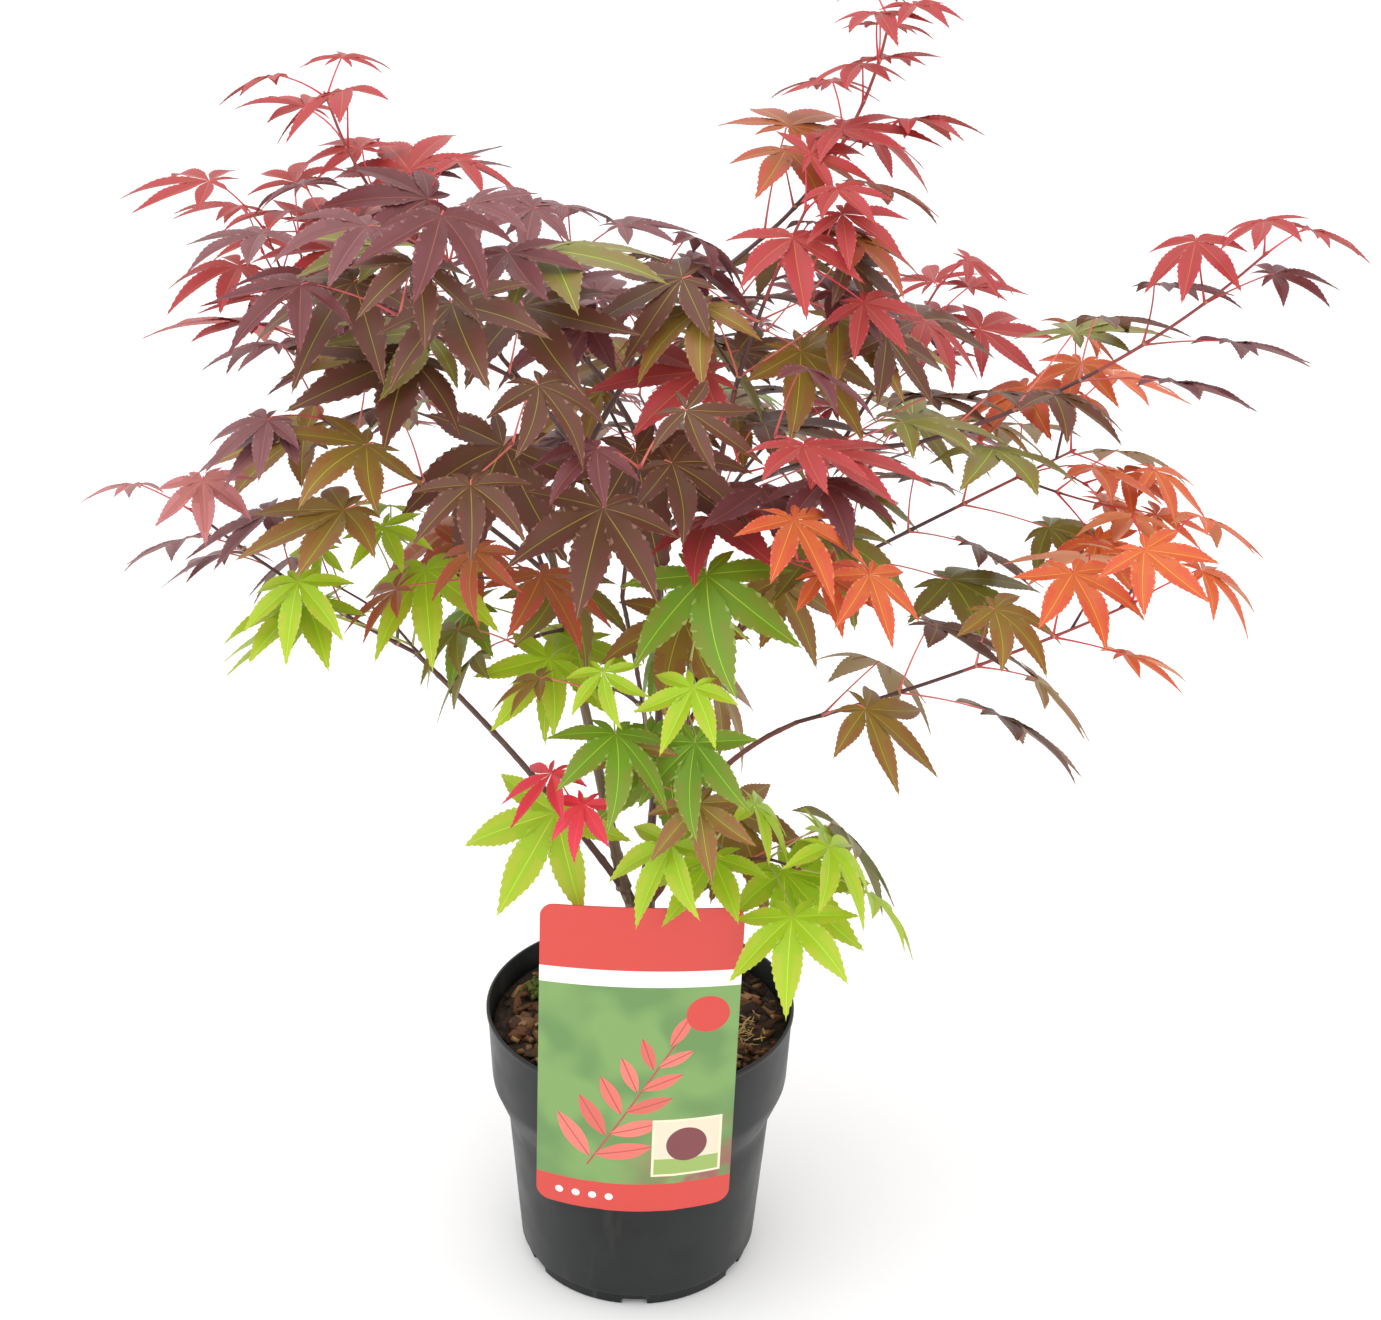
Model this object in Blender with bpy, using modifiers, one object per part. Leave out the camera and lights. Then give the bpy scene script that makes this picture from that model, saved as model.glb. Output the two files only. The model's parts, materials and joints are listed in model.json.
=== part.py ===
"""Potted Japanese maple: a young many-stemmed maple with cut, purple leaves in a round nursery pot.

Metres, +Z up. The origin is the middle of the pot's flat underside, and -Y is the side of the label.
Sizes of limbs and leaves are in millimetres and angles in degrees, as their tables say.
"""

import math
import random
from dataclasses import dataclass

import bmesh
import bpy
from mathutils import Matrix, Vector
from mathutils.bvhtree import BVHTree

GAP = 0.0003  # between solids that touch

# Pot: a round nursery pot with a deep collar
RIM_RADIUS = 0.095
POT_HEIGHT = 0.178
FOOT_RADIUS = 0.071
WALL = 0.002
FLOOR = 0.0025
COLLAR_FOOT = 0.131
COLLAR_DRAFT = 0.0031
POT_SIDES = 32
DRAIN_HOLES = 6
DRAIN_WIDTH = 0.016
DRAIN_HEIGHT = 0.0045

# Growing mix
SOIL_LEVEL = 0.168
SOIL_EDGE_DROP = 0.004

# Label that hooks over the rim
LABEL_WIDTH = 0.116
LABEL_FOOT, LABEL_TOP = 0.092, 0.304
LABEL_THICK = 0.0008
LABEL_CORNER = 0.008
LABEL_BOW_TOP, LABEL_BOW_FOOT = 0.003, 0.014
LABEL_LEAN = 0.02
LABEL_STRIPS = 8
HOOK_WIDTH = 0.026
HOOK_FOOT = 0.170

# Growth
LIMB_STEP = 0.022  # one straight piece of a limb
TWIG_STEP = 0.024  # one straight piece of a leafy twig
TWIG_RADIUS = 0.0013
STALK_RADIUS = 0.0008
STALK_FOOT_RADIUS = 0.0005  # where it is sunk in the twig
STALK_SINK = 0.0008
LEAF_THICK = 0.0016
ROOM_GAP = 0.0006  # kept clear round every leaf and stalk
TRIES = 4  # places tried for a leaf before it is left out
FIRST_PAIR = 0.08  # share of the twig below its first pair of leaves

# Leaf, in units of its middle lobe
LOBE_ANGLES = (-94, -46, 0, 46, 94)
LOBE_LENGTHS = (0.68, 0.91, 1.0, 0.91, 0.68)
NOTCH_REACH = (0.24, 0.27, 0.27, 0.24)
SINUS_REACH = 0.07
BROAD_LOBES = (1, 2, 3)
BROAD_AT, BROAD_HALF = 0.50, 0.160

# Plain colours, linear
BARK = (0.060, 0.036, 0.032)
BLACK_PLASTIC = (0.030, 0.034, 0.037)
BARK_CHIPS = (0.075, 0.040, 0.022)
LABEL_RED = (0.82, 0.13, 0.09)
TINTS = {
    "maroon": (0.085, 0.026, 0.035),
    "purple": (0.155, 0.060, 0.078),
    "dusky": (0.330, 0.120, 0.130),
    "brown": (0.100, 0.045, 0.030),
    "bronze": (0.180, 0.100, 0.048),
    "olive": (0.120, 0.140, 0.060),
    "green": (0.120, 0.260, 0.048),
    "lime": (0.380, 0.570, 0.070),
    "orange": (0.600, 0.170, 0.045),
    "rust": (0.380, 0.080, 0.033),
    "red": (0.420, 0.040, 0.050),
    "crimson": (0.620, 0.032, 0.080),
}


@dataclass(frozen=True)
class Limb:
    """A tapering stem or bough: where it leaves its parent, its way, and its bend along the way."""

    name: str
    parent: str
    at: float  # share of the parent's length
    heading: float  # degrees from +X, seen from above
    rise: float  # degrees above level
    length: float  # mm
    veer: float  # change of heading along the limb
    lift: float  # change of rise along the limb
    foot: float  # thickness at its foot, mm
    tip: float  # thickness at its tip, mm


@dataclass(frozen=True)
class Mass:
    """A leafy twig and its pairs of leaves, from its limb to the furthest tips."""

    name: str
    parent: str
    at: float
    heading: float
    rise: float
    length: float
    veer: float
    lift: float
    leaf: float  # middle lobe of the largest leaves, mm
    fall: float  # how far the blades hang down
    tints: tuple  # from the foot of the twig to its tip
    seeds: tuple  # one for each pair of leaves, from the foot to the tip


TRUNK = Limb("trunk", "", 0.0, 180, 88, 96, 0, 2, 11, 11)
TRUNK_X = 0.0037
TRUNK_THICKNESS = ((0.0, 19), (0.20, 12.5), (0.55, 11), (0.85, 12.5), (1.0, 10.5))
LIMBS = (
    #    name              parent         at    head rise  len  veer lift foot  tip
    Limb("left_fork", "trunk", 0.67, 180, 58, 30, 0, 12, 7.4, 7.0),
    Limb("left_stem", "left_fork", 1.00, -167, 79, 229, 2, 0, 7.0, 4.6),
    Limb("left_low_stem", "left_fork", 0.90, -157, 59, 220, -1, -8, 4.8, 2.8),
    Limb("centre_stem", "trunk", 1.00, 39, 83, 264, 110, -3, 5.6, 3.6),
    Limb("right_fork", "trunk", 0.82, 0, 52, 40, 0, 20, 5.6, 5.2),
    Limb("right_stem", "right_fork", 1.00, -68, 87, 305, 49, -7, 5.0, 3.0),
    Limb("low_right_stem", "trunk", 0.63, -33, 46, 74, 0, 2, 3.2, 2.4),
    Limb("leader", "left_stem", 1.00, 25, 75, 204, -16, -37, 4.0, 2.8),
    Limb("left_back_arm", "left_stem", 0.97, 135, 39, 130, 4, -3, 3.2, 2.4),
    Limb("left_front_arm", "left_stem", 0.91, -147, 47, 108, 0, -6, 3.2, 2.4),
    Limb("high_left_arm", "centre_stem", 1.00, 155, 67, 145, 16, -56, 3.4, 2.4),
    Limb("front_left_arm", "centre_stem", 0.75, -138, 58, 184, -2, -8, 3.4, 2.4),
    Limb("high_right_arm", "centre_stem", 0.82, -18, 42, 170, 3, -30, 4.0, 2.8),
    Limb("slim_stem", "centre_stem", 0.22, -103, 70, 166, -8, -4, 3.0, 2.4),
    Limb("low_right_arm", "right_stem", 0.05, -42, 69, 126, 20, -35, 4.0, 2.8),
    Limb("mid_right_arm", "right_stem", 0.38, 37, 44, 114, -13, -28, 3.4, 2.4),
    Limb("back_left_arm", "left_stem", 0.60, 112, 42, 165, 8, -8, 3.4, 2.4),
    Limb("back_arm", "centre_stem", 0.40, 92, 46, 165, -6, -8, 3.4, 2.4),
    Limb("back_right_arm", "right_stem", 0.28, 58, 42, 175, -8, -8, 3.4, 2.4),
)
MASSES = (
    Mass("crown_front", "front_left_arm", 0.42, -108, 35, 138, 0, -15, 72, 30,
         ("brown", "brown"), (252, 485)),
    Mass("centre_front", "slim_stem", 1, -81, 62, 122, 0, -10, 66, 22,
         ("green", "brown", "maroon"), (682, 23, 755)),
    Mass("crown_left_front", "front_left_arm", 0.88, -126, 33, 107, 0, 0, 70, 16,
         ("brown", "brown", "maroon"), (527, 560, 361)),
    Mass("low_right_tip", "low_right_arm", 1, -20, 26, 214, -5, 10, 64, 24,
         ("bronze", "brown", "bronze", "red", "orange"), (786, 1, 395, 339, 746)),
    Mass("right_front", "right_stem", 0.72, -70, 51, 125, 0, -15, 66, 12,
         ("brown", "red", "maroon"), (697, 134, 453)),
    Mass("high_right_front", "high_right_arm", 0.5, -69, 27, 124, 0, -10, 66, 12,
         ("brown", "maroon", "maroon", "brown"), (199, 799, 455, 612)),
    Mass("right_front_low", "right_stem", 0.5, -67, 50, 125, 0, -15, 58, 30,
         ("bronze", "orange"), (394, 234)),
    Mass("centre_low_spray", "right_stem", 0.22, -88, 61, 137, 0, -25, 60, 42,
         ("bronze", "green", "lime"), (667, 712, 339)),
    Mass("left_centre_spray", "slim_stem", 0.45, -113, 41, 83, 0, -20, 54, 34,
         ("green", "lime", "bronze"), (668, 610, 806)),
    Mass("low_front_spray", "centre_stem", 0.06, -87, 62, 127, 0, -30, 66, 40,
         ("bronze", "bronze"), (111, 247)),
    Mass("left_front_tip", "left_front_arm", 1, -153, 33, 77, 5, 11, 64, 14,
         ("brown", "bronze", "purple", "purple"), (725, 16, 281, 121)),
    Mass("left_low_side", "left_low_stem", 0.96, -135, 57, 70, -11, -20, 62, 30,
         ("lime", "rust"), (238, 634)),
    Mass("crown_mid_left", "front_left_arm", 1, -133, 55, 72, 8, 6, 68, 8,
         ("brown", "maroon", "purple"), (848, 318, 62)),
    Mass("outer_left_spray", "left_stem", 0.9, -123, 28, 79, 0, -10, 64, 26,
         ("olive", "rust", "rust"), (118, 328, 725)),
    Mass("left_low_tip", "left_low_stem", 1, -170, 32, 148, 3, 13, 62, 18,
         ("green", "lime", "purple", "purple", "dusky"), (784, 622, 844, 263, 495)),
    Mass("low_right_spray", "low_right_stem", 1, -44, 58, 72, 3, -60, 66, 40,
         ("lime", "olive", "lime", "bronze"), (814, 136, 396, 610)),
    Mass("low_left_spray", "left_stem", 0.2, -107, 46, 75, 0, -20, 62, 38,
         ("lime", "green", "crimson"), (474, 40)),
    Mass("mid_left_spray", "left_stem", 0.78, -120, 18, 49, 0, -15, 58, 26,
         ("green", "olive", "olive"), (664, 420, 631)),
    Mass("high_right_tip", "high_right_arm", 1, -6, 20, 212, -3, 28, 62, 8,
         ("brown", "olive", "brown", "maroon", "maroon", "red"), (659, 311, 605, 605, 395, 845)),
    Mass("right_stem_top", "right_stem", 1, -20, 76, 110, 7, -10, 62, 8,
         ("brown", "brown", "maroon", "red"), (322, 492, 213, 212)),
    Mass("leader_left", "leader", 0.5, -54, 65, 70, 0, 0, 66, 12,
         ("olive", "maroon", "maroon"), (191, 373, 512)),
    Mass("leader_right", "leader", 0.8, -22, 13, 63, 0, -10, 66, 24,
         ("bronze", "brown"), (428, 674)),
    Mass("crown_left", "high_left_arm", 0.86, -155, 22, 105, 0, 10, 68, 10,
         ("maroon", "maroon", "purple"), (202, 560, 778)),
    Mass("crown_mid", "high_left_arm", 0.42, -115, 70, 67, 0, 10, 70, 8,
         ("purple", "maroon", "purple"), (227, 718, 550)),
    Mass("top_spray", "leader", 1, 4, 39, 146, 10, 42, 56, 6,
         ("maroon", "rust", "maroon", "red", "red", "red", "red"), (336, 663, 547, 195, 860, 357, 632)),
    Mass("mid_right_tip", "mid_right_arm", 1, 16, 24, 156, 0, -2, 60, 14,
         ("olive", "brown", "olive", "brown", "orange"), (330, 640, 321, 704, 245)),
    Mass("high_left_tip", "high_left_arm", 1, 171, 34, 131, -13, 37, 62, 8,
         ("maroon", "maroon", "red", "maroon", "red"), (552, 72, 794, 577, 270)),
    Mass("centre_top", "centre_stem", 0.93, 68, 41, 80, 0, 5, 66, 10,
         ("bronze", "maroon"), (853, 34, 712)),
    Mass("left_back_tip", "left_back_arm", 1, 161, -1, 98, -10, 43, 70, 12,
         ("maroon", "red", "red", "red"), (264, 367, 742, 344)),
    Mass("high_right_back", "high_right_arm", 0.72, 61, 26, 142, 0, 0, 62, 8,
         ("brown", "maroon", "red"), (840, 348, 187, 46)),
    Mass("leader_back", "leader", 0.58, 63, -5, 163, 0, -10, 62, 12,
         ("brown", "maroon", "maroon"), (687, 725, 348)),
    Mass("high_back_spray", "centre_stem", 0.92, 112, 24, 163, 0, -15, 66, 12,
         ("brown", "maroon", "maroon"), (777, 24, 161)),
    Mass("back_left_spray", "back_left_arm", 1, 129, 3, 102, 0, -10, 64, 15,
         ("olive", "purple", "maroon"), (315, 53, 340)),
    Mass("back_right_spray", "back_right_arm", 1, 59, 0, 110, 0, -10, 64, 15,
         ("olive", "brown", "maroon"), (379, 489, 700)),
    Mass("back_spray", "back_arm", 1, 102, 10, 103, 0, -10, 64, 15,
         ("green", "brown", "maroon"), (281, 344, 866)),
)


def aim(heading: float, rise: float) -> Vector:
    """The unit vector of a heading and a rise in degrees."""
    turn, up = math.radians(heading), math.radians(rise)
    return Vector((math.cos(turn) * math.cos(up), math.sin(turn) * math.cos(up), math.sin(up)))


def arc(start: Vector, spec, step: float) -> list:
    """Points of a limb or twig, whose way turns evenly along its length."""
    length = spec.length / 1000
    count = max(2, round(length / step))
    points = [Vector(start)]
    for i in range(count):
        share = (i + 0.5) / count
        way = aim(spec.heading + spec.veer * share, spec.rise + spec.lift * share)
        points.append(points[-1] + way * (length / count))
    return points


def along(points: list, share: float) -> tuple:
    """The point and the way at a share of a path."""
    place = min(max(share, 0.0), 1.0) * (len(points) - 1)
    i = min(int(place), len(points) - 2)
    way = (points[i + 1] - points[i]).normalized()
    return points[i].lerp(points[i + 1], place - i), way


def radius_at(spec: Limb, share: float) -> float:
    """Half a limb's thickness at a share of its length; the trunk flares at its foot."""
    if spec is not TRUNK:
        return (spec.foot + (spec.tip - spec.foot) * share) / 2000
    for (low, thick), (high, next_thick) in zip(TRUNK_THICKNESS, TRUNK_THICKNESS[1:]):
        if share <= high:
            return (thick + (next_thick - thick) * (share - low) / (high - low)) / 2000
    return TRUNK_THICKNESS[-1][1] / 2000


def tube(points: list, radii: list, sides: int) -> tuple:
    """Vertices and faces of a closed tube."""
    verts, faces = [], []
    side = (points[1] - points[0]).orthogonal().normalized()
    last = len(points) - 1
    for i, point in enumerate(points):
        way = (points[min(i + 1, last)] - points[max(i - 1, 0)]).normalized()
        side = (side - way * side.dot(way)).normalized()
        other = way.cross(side)
        for k in range(sides):
            turn = math.tau * k / sides
            verts.append(point + (side * math.cos(turn) + other * math.sin(turn)) * radii[i])
    for i in range(last):
        for k in range(sides):
            a, b = i * sides + k, i * sides + (k + 1) % sides
            faces.append((a, b, b + sides, a + sides))
    faces.append(tuple(range(sides - 1, -1, -1)))
    faces.append(tuple(last * sides + k for k in range(sides)))
    return verts, faces


class Room:
    """What already stands, so that no twig or leaf grows through it."""

    def __init__(self):
        self.items = []

    @staticmethod
    def bounds(verts: list) -> tuple:
        """Middle and reach of some points."""
        low = Vector(min(v[i] for v in verts) for i in range(3))
        high = Vector(max(v[i] for v in verts) for i in range(3))
        centre = (low + high) / 2
        return centre, max((v - centre).length for v in verts)

    def add(self, verts: list, faces: list, owner: str = ""):
        """Take up the room of a shape; a twig and its stalks have their mass as owner."""
        self.items.append((owner, *self.bounds(verts), BVHTree.FromPolygons(verts, faces)))

    def free(self, verts: list, faces: list, own: str = "-") -> bool:
        """True if a shape meets nothing that stands, its own twig and stalks aside."""
        centre, reach = self.bounds(verts)
        tree = None
        for owner, middle, far, standing in self.items:
            if owner != own and (middle - centre).length < reach + far:
                tree = tree or BVHTree.FromPolygons(verts, faces)
                if tree.overlap(standing):
                    return False
        return True


@dataclass
class Leaf:
    """A blade on its stalk: its place, its axes and how its lobes droop and swirl."""

    stalk: tuple
    centre: Vector
    axes: tuple  # along the middle lobe, across it, out of the upper face
    length: float
    hang: float
    lobes: list
    swirl: float
    tint: str
    young: float


def leaf_outline() -> list:
    """Tips, broad places and notches of the flat leaf in turn: angle, reach and the lobes beside."""
    broad_turn, broad_reach = math.atan2(BROAD_HALF, BROAD_AT), math.hypot(BROAD_HALF, BROAD_AT)
    spots = []
    for i, (angle, reach) in enumerate(zip(LOBE_ANGLES, LOBE_LENGTHS)):
        turn = math.radians(angle)
        if i in BROAD_LOBES:
            spots.append((turn - broad_turn, broad_reach * reach, (i, i)))
        spots.append((turn, reach, (i, i)))
        if i in BROAD_LOBES:
            spots.append((turn + broad_turn, broad_reach * reach, (i, i)))
        if i < len(NOTCH_REACH):
            half = math.radians((angle + LOBE_ANGLES[i + 1]) / 2)
            spots.append((half, NOTCH_REACH[i], (i, i + 1)))
    return spots


OUTLINE = leaf_outline()


def bend(leaf: Leaf, x: float, y: float, droop: float) -> Vector:
    """Where a point of the flat leaf lies once its lobes swirl and hang."""
    reach = math.hypot(x, y)
    turn = leaf.swirl * reach * reach
    flat_x = x * math.cos(turn) - y * math.sin(turn)
    flat_y = x * math.sin(turn) + y * math.cos(turn)
    drop = -leaf.hang * droop * reach**1.5
    middle, across, up = leaf.axes
    return leaf.centre + (middle * flat_x + across * flat_y + up * drop) * leaf.length


def blade(leaf: Leaf, thick: float, grow: float = 0.0, stalk: bool = False) -> tuple:
    """A closed leaf: its outline, a point above and below its middle, and its stalk if asked for."""
    verts = []
    for angle, reach, (i, j) in OUTLINE:
        x, y = math.cos(angle) * (reach + grow), math.sin(angle) * (reach + grow)
        verts.append(bend(leaf, x, y, (leaf.lobes[i] + leaf.lobes[j]) / 2))
    middle, across, up = leaf.axes
    foot, end = leaf.stalk
    way = (end - foot).normalized()
    side = 1 if way.dot(up) >= 0 else -1
    ridge = way.cross(across).normalized() * side
    crest = ridge if ridge.dot(up) * side >= 0 else -middle
    last = len(verts)
    back = end - middle * grow * leaf.length
    verts += [back + across * STALK_RADIUS, back + crest * STALK_RADIUS * 1.5, back - across * STALK_RADIUS]
    count = len(verts)
    verts += [leaf.centre + up * thick / 2, leaf.centre - up * thick / 2]
    ridged = list(range(count))
    plain = ridged[: last + 1] + [last + 2]
    upper, lower = (ridged, plain) if side > 0 else (plain, ridged)
    faces = [(i, j, count) for i, j in zip(upper, upper[1:] + upper[:1])]
    faces += [(j, i, count + 1) for i, j in zip(lower, lower[1:] + lower[:1])]
    ring = (last, last + 1, last + 2) if side < 0 else (last + 2, last + 1, last)
    if not stalk:
        return verts, faces + [ring]
    flat = (across - way * across.dot(way)).normalized()
    foot_radius = STALK_FOOT_RADIUS
    verts += [foot + flat * foot_radius, foot + ridge * foot_radius, foot - flat * foot_radius]
    feet = [count + 2 + i - last for i in ring]
    for i in range(3):
        j = (i + 1) % 3
        faces.append((ring[i], ring[j], feet[j], feet[i]))
    return verts, faces + [tuple(feet)]


def draw_leaf(rng, mass: Mass, point: Vector, way: Vector, roll: float, share: float) -> Leaf:
    """One leaf: its stalk leaves the twig sideways and upwards, and the blade hangs from its end."""
    young = share**1.5
    size = mass.leaf / 1000 * (1.0 - 0.34 * young) * rng.uniform(0.80, 1.12)
    splay = math.radians(rng.uniform(35, 65))
    side = Matrix.Rotation(math.radians(roll), 3, way) @ way.orthogonal().normalized()
    out = way * math.cos(splay) + side * math.sin(splay)
    out.z += rng.uniform(0.05, 0.7)
    out.normalize()
    half = (size * rng.uniform(0.5, 0.9) + 0.004) / 2
    end = point + (out + Vector((out.x, out.y, out.z * 0.6)).normalized()) * half
    plan = out + way * 0.35
    heading = math.degrees(math.atan2(plan.y, plan.x)) + rng.uniform(-40, 40)
    middle = aim(heading, rng.uniform(-14, 14) - mass.fall)
    up = (Vector((0, 0, 1)) - middle * middle.z).normalized()
    up = Matrix.Rotation(math.radians(rng.uniform(-20, 20)), 3, middle) @ up
    hang = rng.uniform(0.06, 0.36)
    lobes = [rng.uniform(0.55, 1.45) for _ in LOBE_ANGLES]
    swirl = rng.uniform(-0.16, 0.16)
    last = len(mass.tints) - 1
    tint = mass.tints[min(last, max(0, round(share * last + rng.uniform(-0.7, 0.7))))]
    centre = end + middle * SINUS_REACH * size
    foot = point - way * STALK_SINK + side * STALK_SINK / 3
    return Leaf((foot, end), centre, (middle, up.cross(middle), up), size, hang, lobes, swirl, tint, young)


def fits(leaf: Leaf, room: Room, own: str) -> bool:
    """True if a leaf and its stalk meet neither each other nor anything that stands."""
    foot, end = leaf.stalk
    wide = blade(leaf, LEAF_THICK + 2 * ROOM_GAP, 0.012)
    root = tube([foot, foot.lerp(end, 0.2)], [STALK_RADIUS + ROOM_GAP] * 2, 3)
    stalk = tube([foot.lerp(end, 0.18), end], [STALK_RADIUS + ROOM_GAP] * 2, 3)
    below_blade = tube([foot.lerp(end, 0.18), foot.lerp(end, 0.88)], [STALK_RADIUS + ROOM_GAP] * 2, 3)
    if BVHTree.FromPolygons(*below_blade).overlap(BVHTree.FromPolygons(*wide)):
        return False
    return room.free(*wide) and room.free(*stalk) and room.free(*root, own)


def grow_pair(mass: Mass, path: list, pair: int, room: Room) -> list:
    """A pair of leaves on opposite sides of a twig; one that finds no room is left out."""
    rng = random.Random(mass.seeds[pair])
    share = FIRST_PAIR + (1 - FIRST_PAIR) * pair / (len(mass.seeds) - 1)
    point, way = along(path, share)
    roll = rng.uniform(0, 180)
    leaves = []
    for flip in (0, 180):
        for _ in range(TRIES):
            leaf = draw_leaf(rng, mass, point, way, roll + flip + rng.uniform(-18, 18), share)
            if fits(leaf, room, mass.name):
                leaves.append(leaf)
                room.add(*blade(leaf, LEAF_THICK))
                room.add(*tube(leaf.stalk, [STALK_RADIUS] * 2, 3), mass.name)
                break
    return leaves


def twig_start(mass: Mass, limbs: dict, paths: dict) -> Vector:
    """Where a twig begins, a gap clear of its limb's tip or side."""
    point, way = along(paths[mass.parent], mass.at)
    out = aim(mass.heading, mass.rise)
    cosine = min(1.0, abs(out.dot(way)))
    sine = max(0.25, math.sqrt(max(0.0, 1 - cosine * cosine)))
    if mass.at >= 1.0:
        return point + way * (GAP * 1.7 + TWIG_RADIUS * sine)
    clear = radius_at(limbs[mass.parent], mass.at) + GAP + TWIG_RADIUS * cosine
    return point + out * (clear / sine + GAP / 2)


def grow_limbs() -> tuple:
    """All limbs and their paths, by name, each from its place on its parent."""
    limbs = {TRUNK.name: TRUNK}
    paths = {TRUNK.name: arc(Vector((TRUNK_X, 0, SOIL_LEVEL + GAP)), TRUNK, LIMB_STEP)}
    for limb in LIMBS:
        point, way = along(paths[limb.parent], limb.at)
        if limb.at >= 1.0:
            point = point + way * GAP
        limbs[limb.name] = limb
        paths[limb.name] = arc(point, limb, LIMB_STEP)
    return limbs, paths


def limb_radii(limb: Limb, points: list) -> list:
    """The limb's radius at each of its points."""
    return [radius_at(limb, i / (len(points) - 1)) for i in range(len(points))]


def collar_inside(height: float) -> float:
    """The least radius of the collar's inner face at a height, at the middle of a facet."""
    share = (height - COLLAR_FOOT) / (POT_HEIGHT - COLLAR_FOOT)
    return (RIM_RADIUS - WALL - COLLAR_DRAFT * (1 - share)) * math.cos(math.pi / POT_SIDES)


def label_bow(x: float, z: float) -> float:
    """How far the label's face lies behind its middle at a place on it."""
    share = (z - LABEL_FOOT) / (LABEL_TOP - LABEL_FOOT)
    return (LABEL_BOW_FOOT + (LABEL_BOW_TOP - LABEL_BOW_FOOT) * share) * (2 * x / LABEL_WIDTH) ** 2


def label_front() -> float:
    """The Y of the middle of the label's front face."""
    return -(RIM_RADIUS + 2 * GAP + LABEL_THICK)


def fill_room(limbs: dict, paths: dict) -> Room:
    """The room that the limbs, the pot and the label take up."""
    room = Room()
    for name, points in paths.items():
        room.add(*tube(points, limb_radii(limbs[name], points), 6))
    middle = [Vector((0, 0, 0)), Vector((0, 0, SOIL_LEVEL)), Vector((0, 0, POT_HEIGHT))]
    room.add(*tube(middle, [FOOT_RADIUS, RIM_RADIUS, RIM_RADIUS + ROOM_GAP], 24))
    ring = []
    for z in (LABEL_FOOT, LABEL_TOP):
        for x, back in ((-1, 0), (-1, 1), (0, 1), (1, 1), (1, 0), (0, 0)):
            across = x * LABEL_WIDTH / 2
            y = label_front() + label_bow(across, z) + back * 2 * LABEL_THICK
            ring.append(Vector((across + (z - POT_HEIGHT) * LABEL_LEAN, y, z)))
    faces = [(i, (i + 1) % 6, (i + 1) % 6 + 6, i + 6) for i in range(6)]
    room.add(ring, faces + [(5, 4, 3, 2, 1, 0), (6, 7, 8, 9, 10, 11)])
    return room


def grow_masses(limbs: dict, paths: dict) -> dict:
    """Each mass's twig and leaves; all twigs take their room before the first leaf opens."""
    room = fill_room(limbs, paths)
    twigs = {mass.name: arc(twig_start(mass, limbs, paths), mass, TWIG_STEP) for mass in MASSES}
    for name, path in twigs.items():
        room.add(*tube(path, [TWIG_RADIUS] * len(path), 3), name)
    grown = {}
    for mass in MASSES:
        path = twigs[mass.name]
        leaves = [leaf for pair in range(len(mass.seeds)) for leaf in grow_pair(mass, path, pair, room)]
        grown[mass.name] = (mass, path, leaves)
    return grown


def plain_material(name: str, colour: tuple, roughness: float):
    """A Principled material of one colour."""
    material = bpy.data.materials.new(name)
    material.use_nodes = True
    shader = material.node_tree.nodes["Principled BSDF"]
    shader.inputs["Base Color"].default_value = (*colour, 1)
    shader.inputs["Roughness"].default_value = roughness
    return material


def new_object(name: str, mesh, material, collection):
    """An object of a mesh, in a collection."""
    thing = bpy.data.objects.new(name, mesh)
    if material:
        mesh.materials.append(material)
    collection.objects.link(thing)
    return thing


def mesh_of(name: str, verts: list, faces: list):
    """A mesh of vertices and faces, with its faces pointing out."""
    mesh = bpy.data.meshes.new(name)
    mesh.from_pydata([tuple(v) for v in verts], [], faces)
    shape = bmesh.new()
    shape.from_mesh(mesh)
    bmesh.ops.recalc_face_normals(shape, faces=shape.faces)
    shape.to_mesh(mesh)
    shape.free()
    return mesh


def apply_modifiers(thing):
    """Give an object the mesh that its modifiers make."""
    bpy.context.view_layer.update()
    shaped = thing.evaluated_get(bpy.context.evaluated_depsgraph_get())
    mesh = bpy.data.meshes.new_from_object(shaped)
    thing.modifiers.clear()
    thing.data = mesh


def keep_largest(thing):
    """Drop the loose scraps that a cut or a union leaves."""
    shape = bmesh.new()
    shape.from_mesh(thing.data)
    left, bodies = set(shape.faces), []
    while left:
        front = [left.pop()]
        body = list(front)
        while front:
            for edge in front.pop().edges:
                for face in edge.link_faces:
                    if face in left:
                        left.discard(face)
                        body.append(face)
                        front.append(face)
        bodies.append(body)
    bodies.sort(key=len)
    bmesh.ops.delete(shape, geom=[face for body in bodies[:-1] for face in body], context="FACES")
    shape.to_mesh(thing.data)
    shape.free()


def turned(name: str, profile: list, material, collection):
    """A solid turned round the Z axis from a profile of radius and height, its outer side from the top down."""
    mesh = bpy.data.meshes.new(name)
    mesh.from_pydata([(r, 0, z) for r, z in profile], [(i, i + 1) for i in range(len(profile) - 1)], [])
    thing = new_object(name, mesh, material, collection)
    screw = thing.modifiers.new("Turn", "SCREW")
    screw.steps = screw.render_steps = POT_SIDES
    screw.use_merge_vertices = True
    screw.merge_threshold = 0.0001
    screw.use_normal_calculate = False
    return thing


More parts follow.
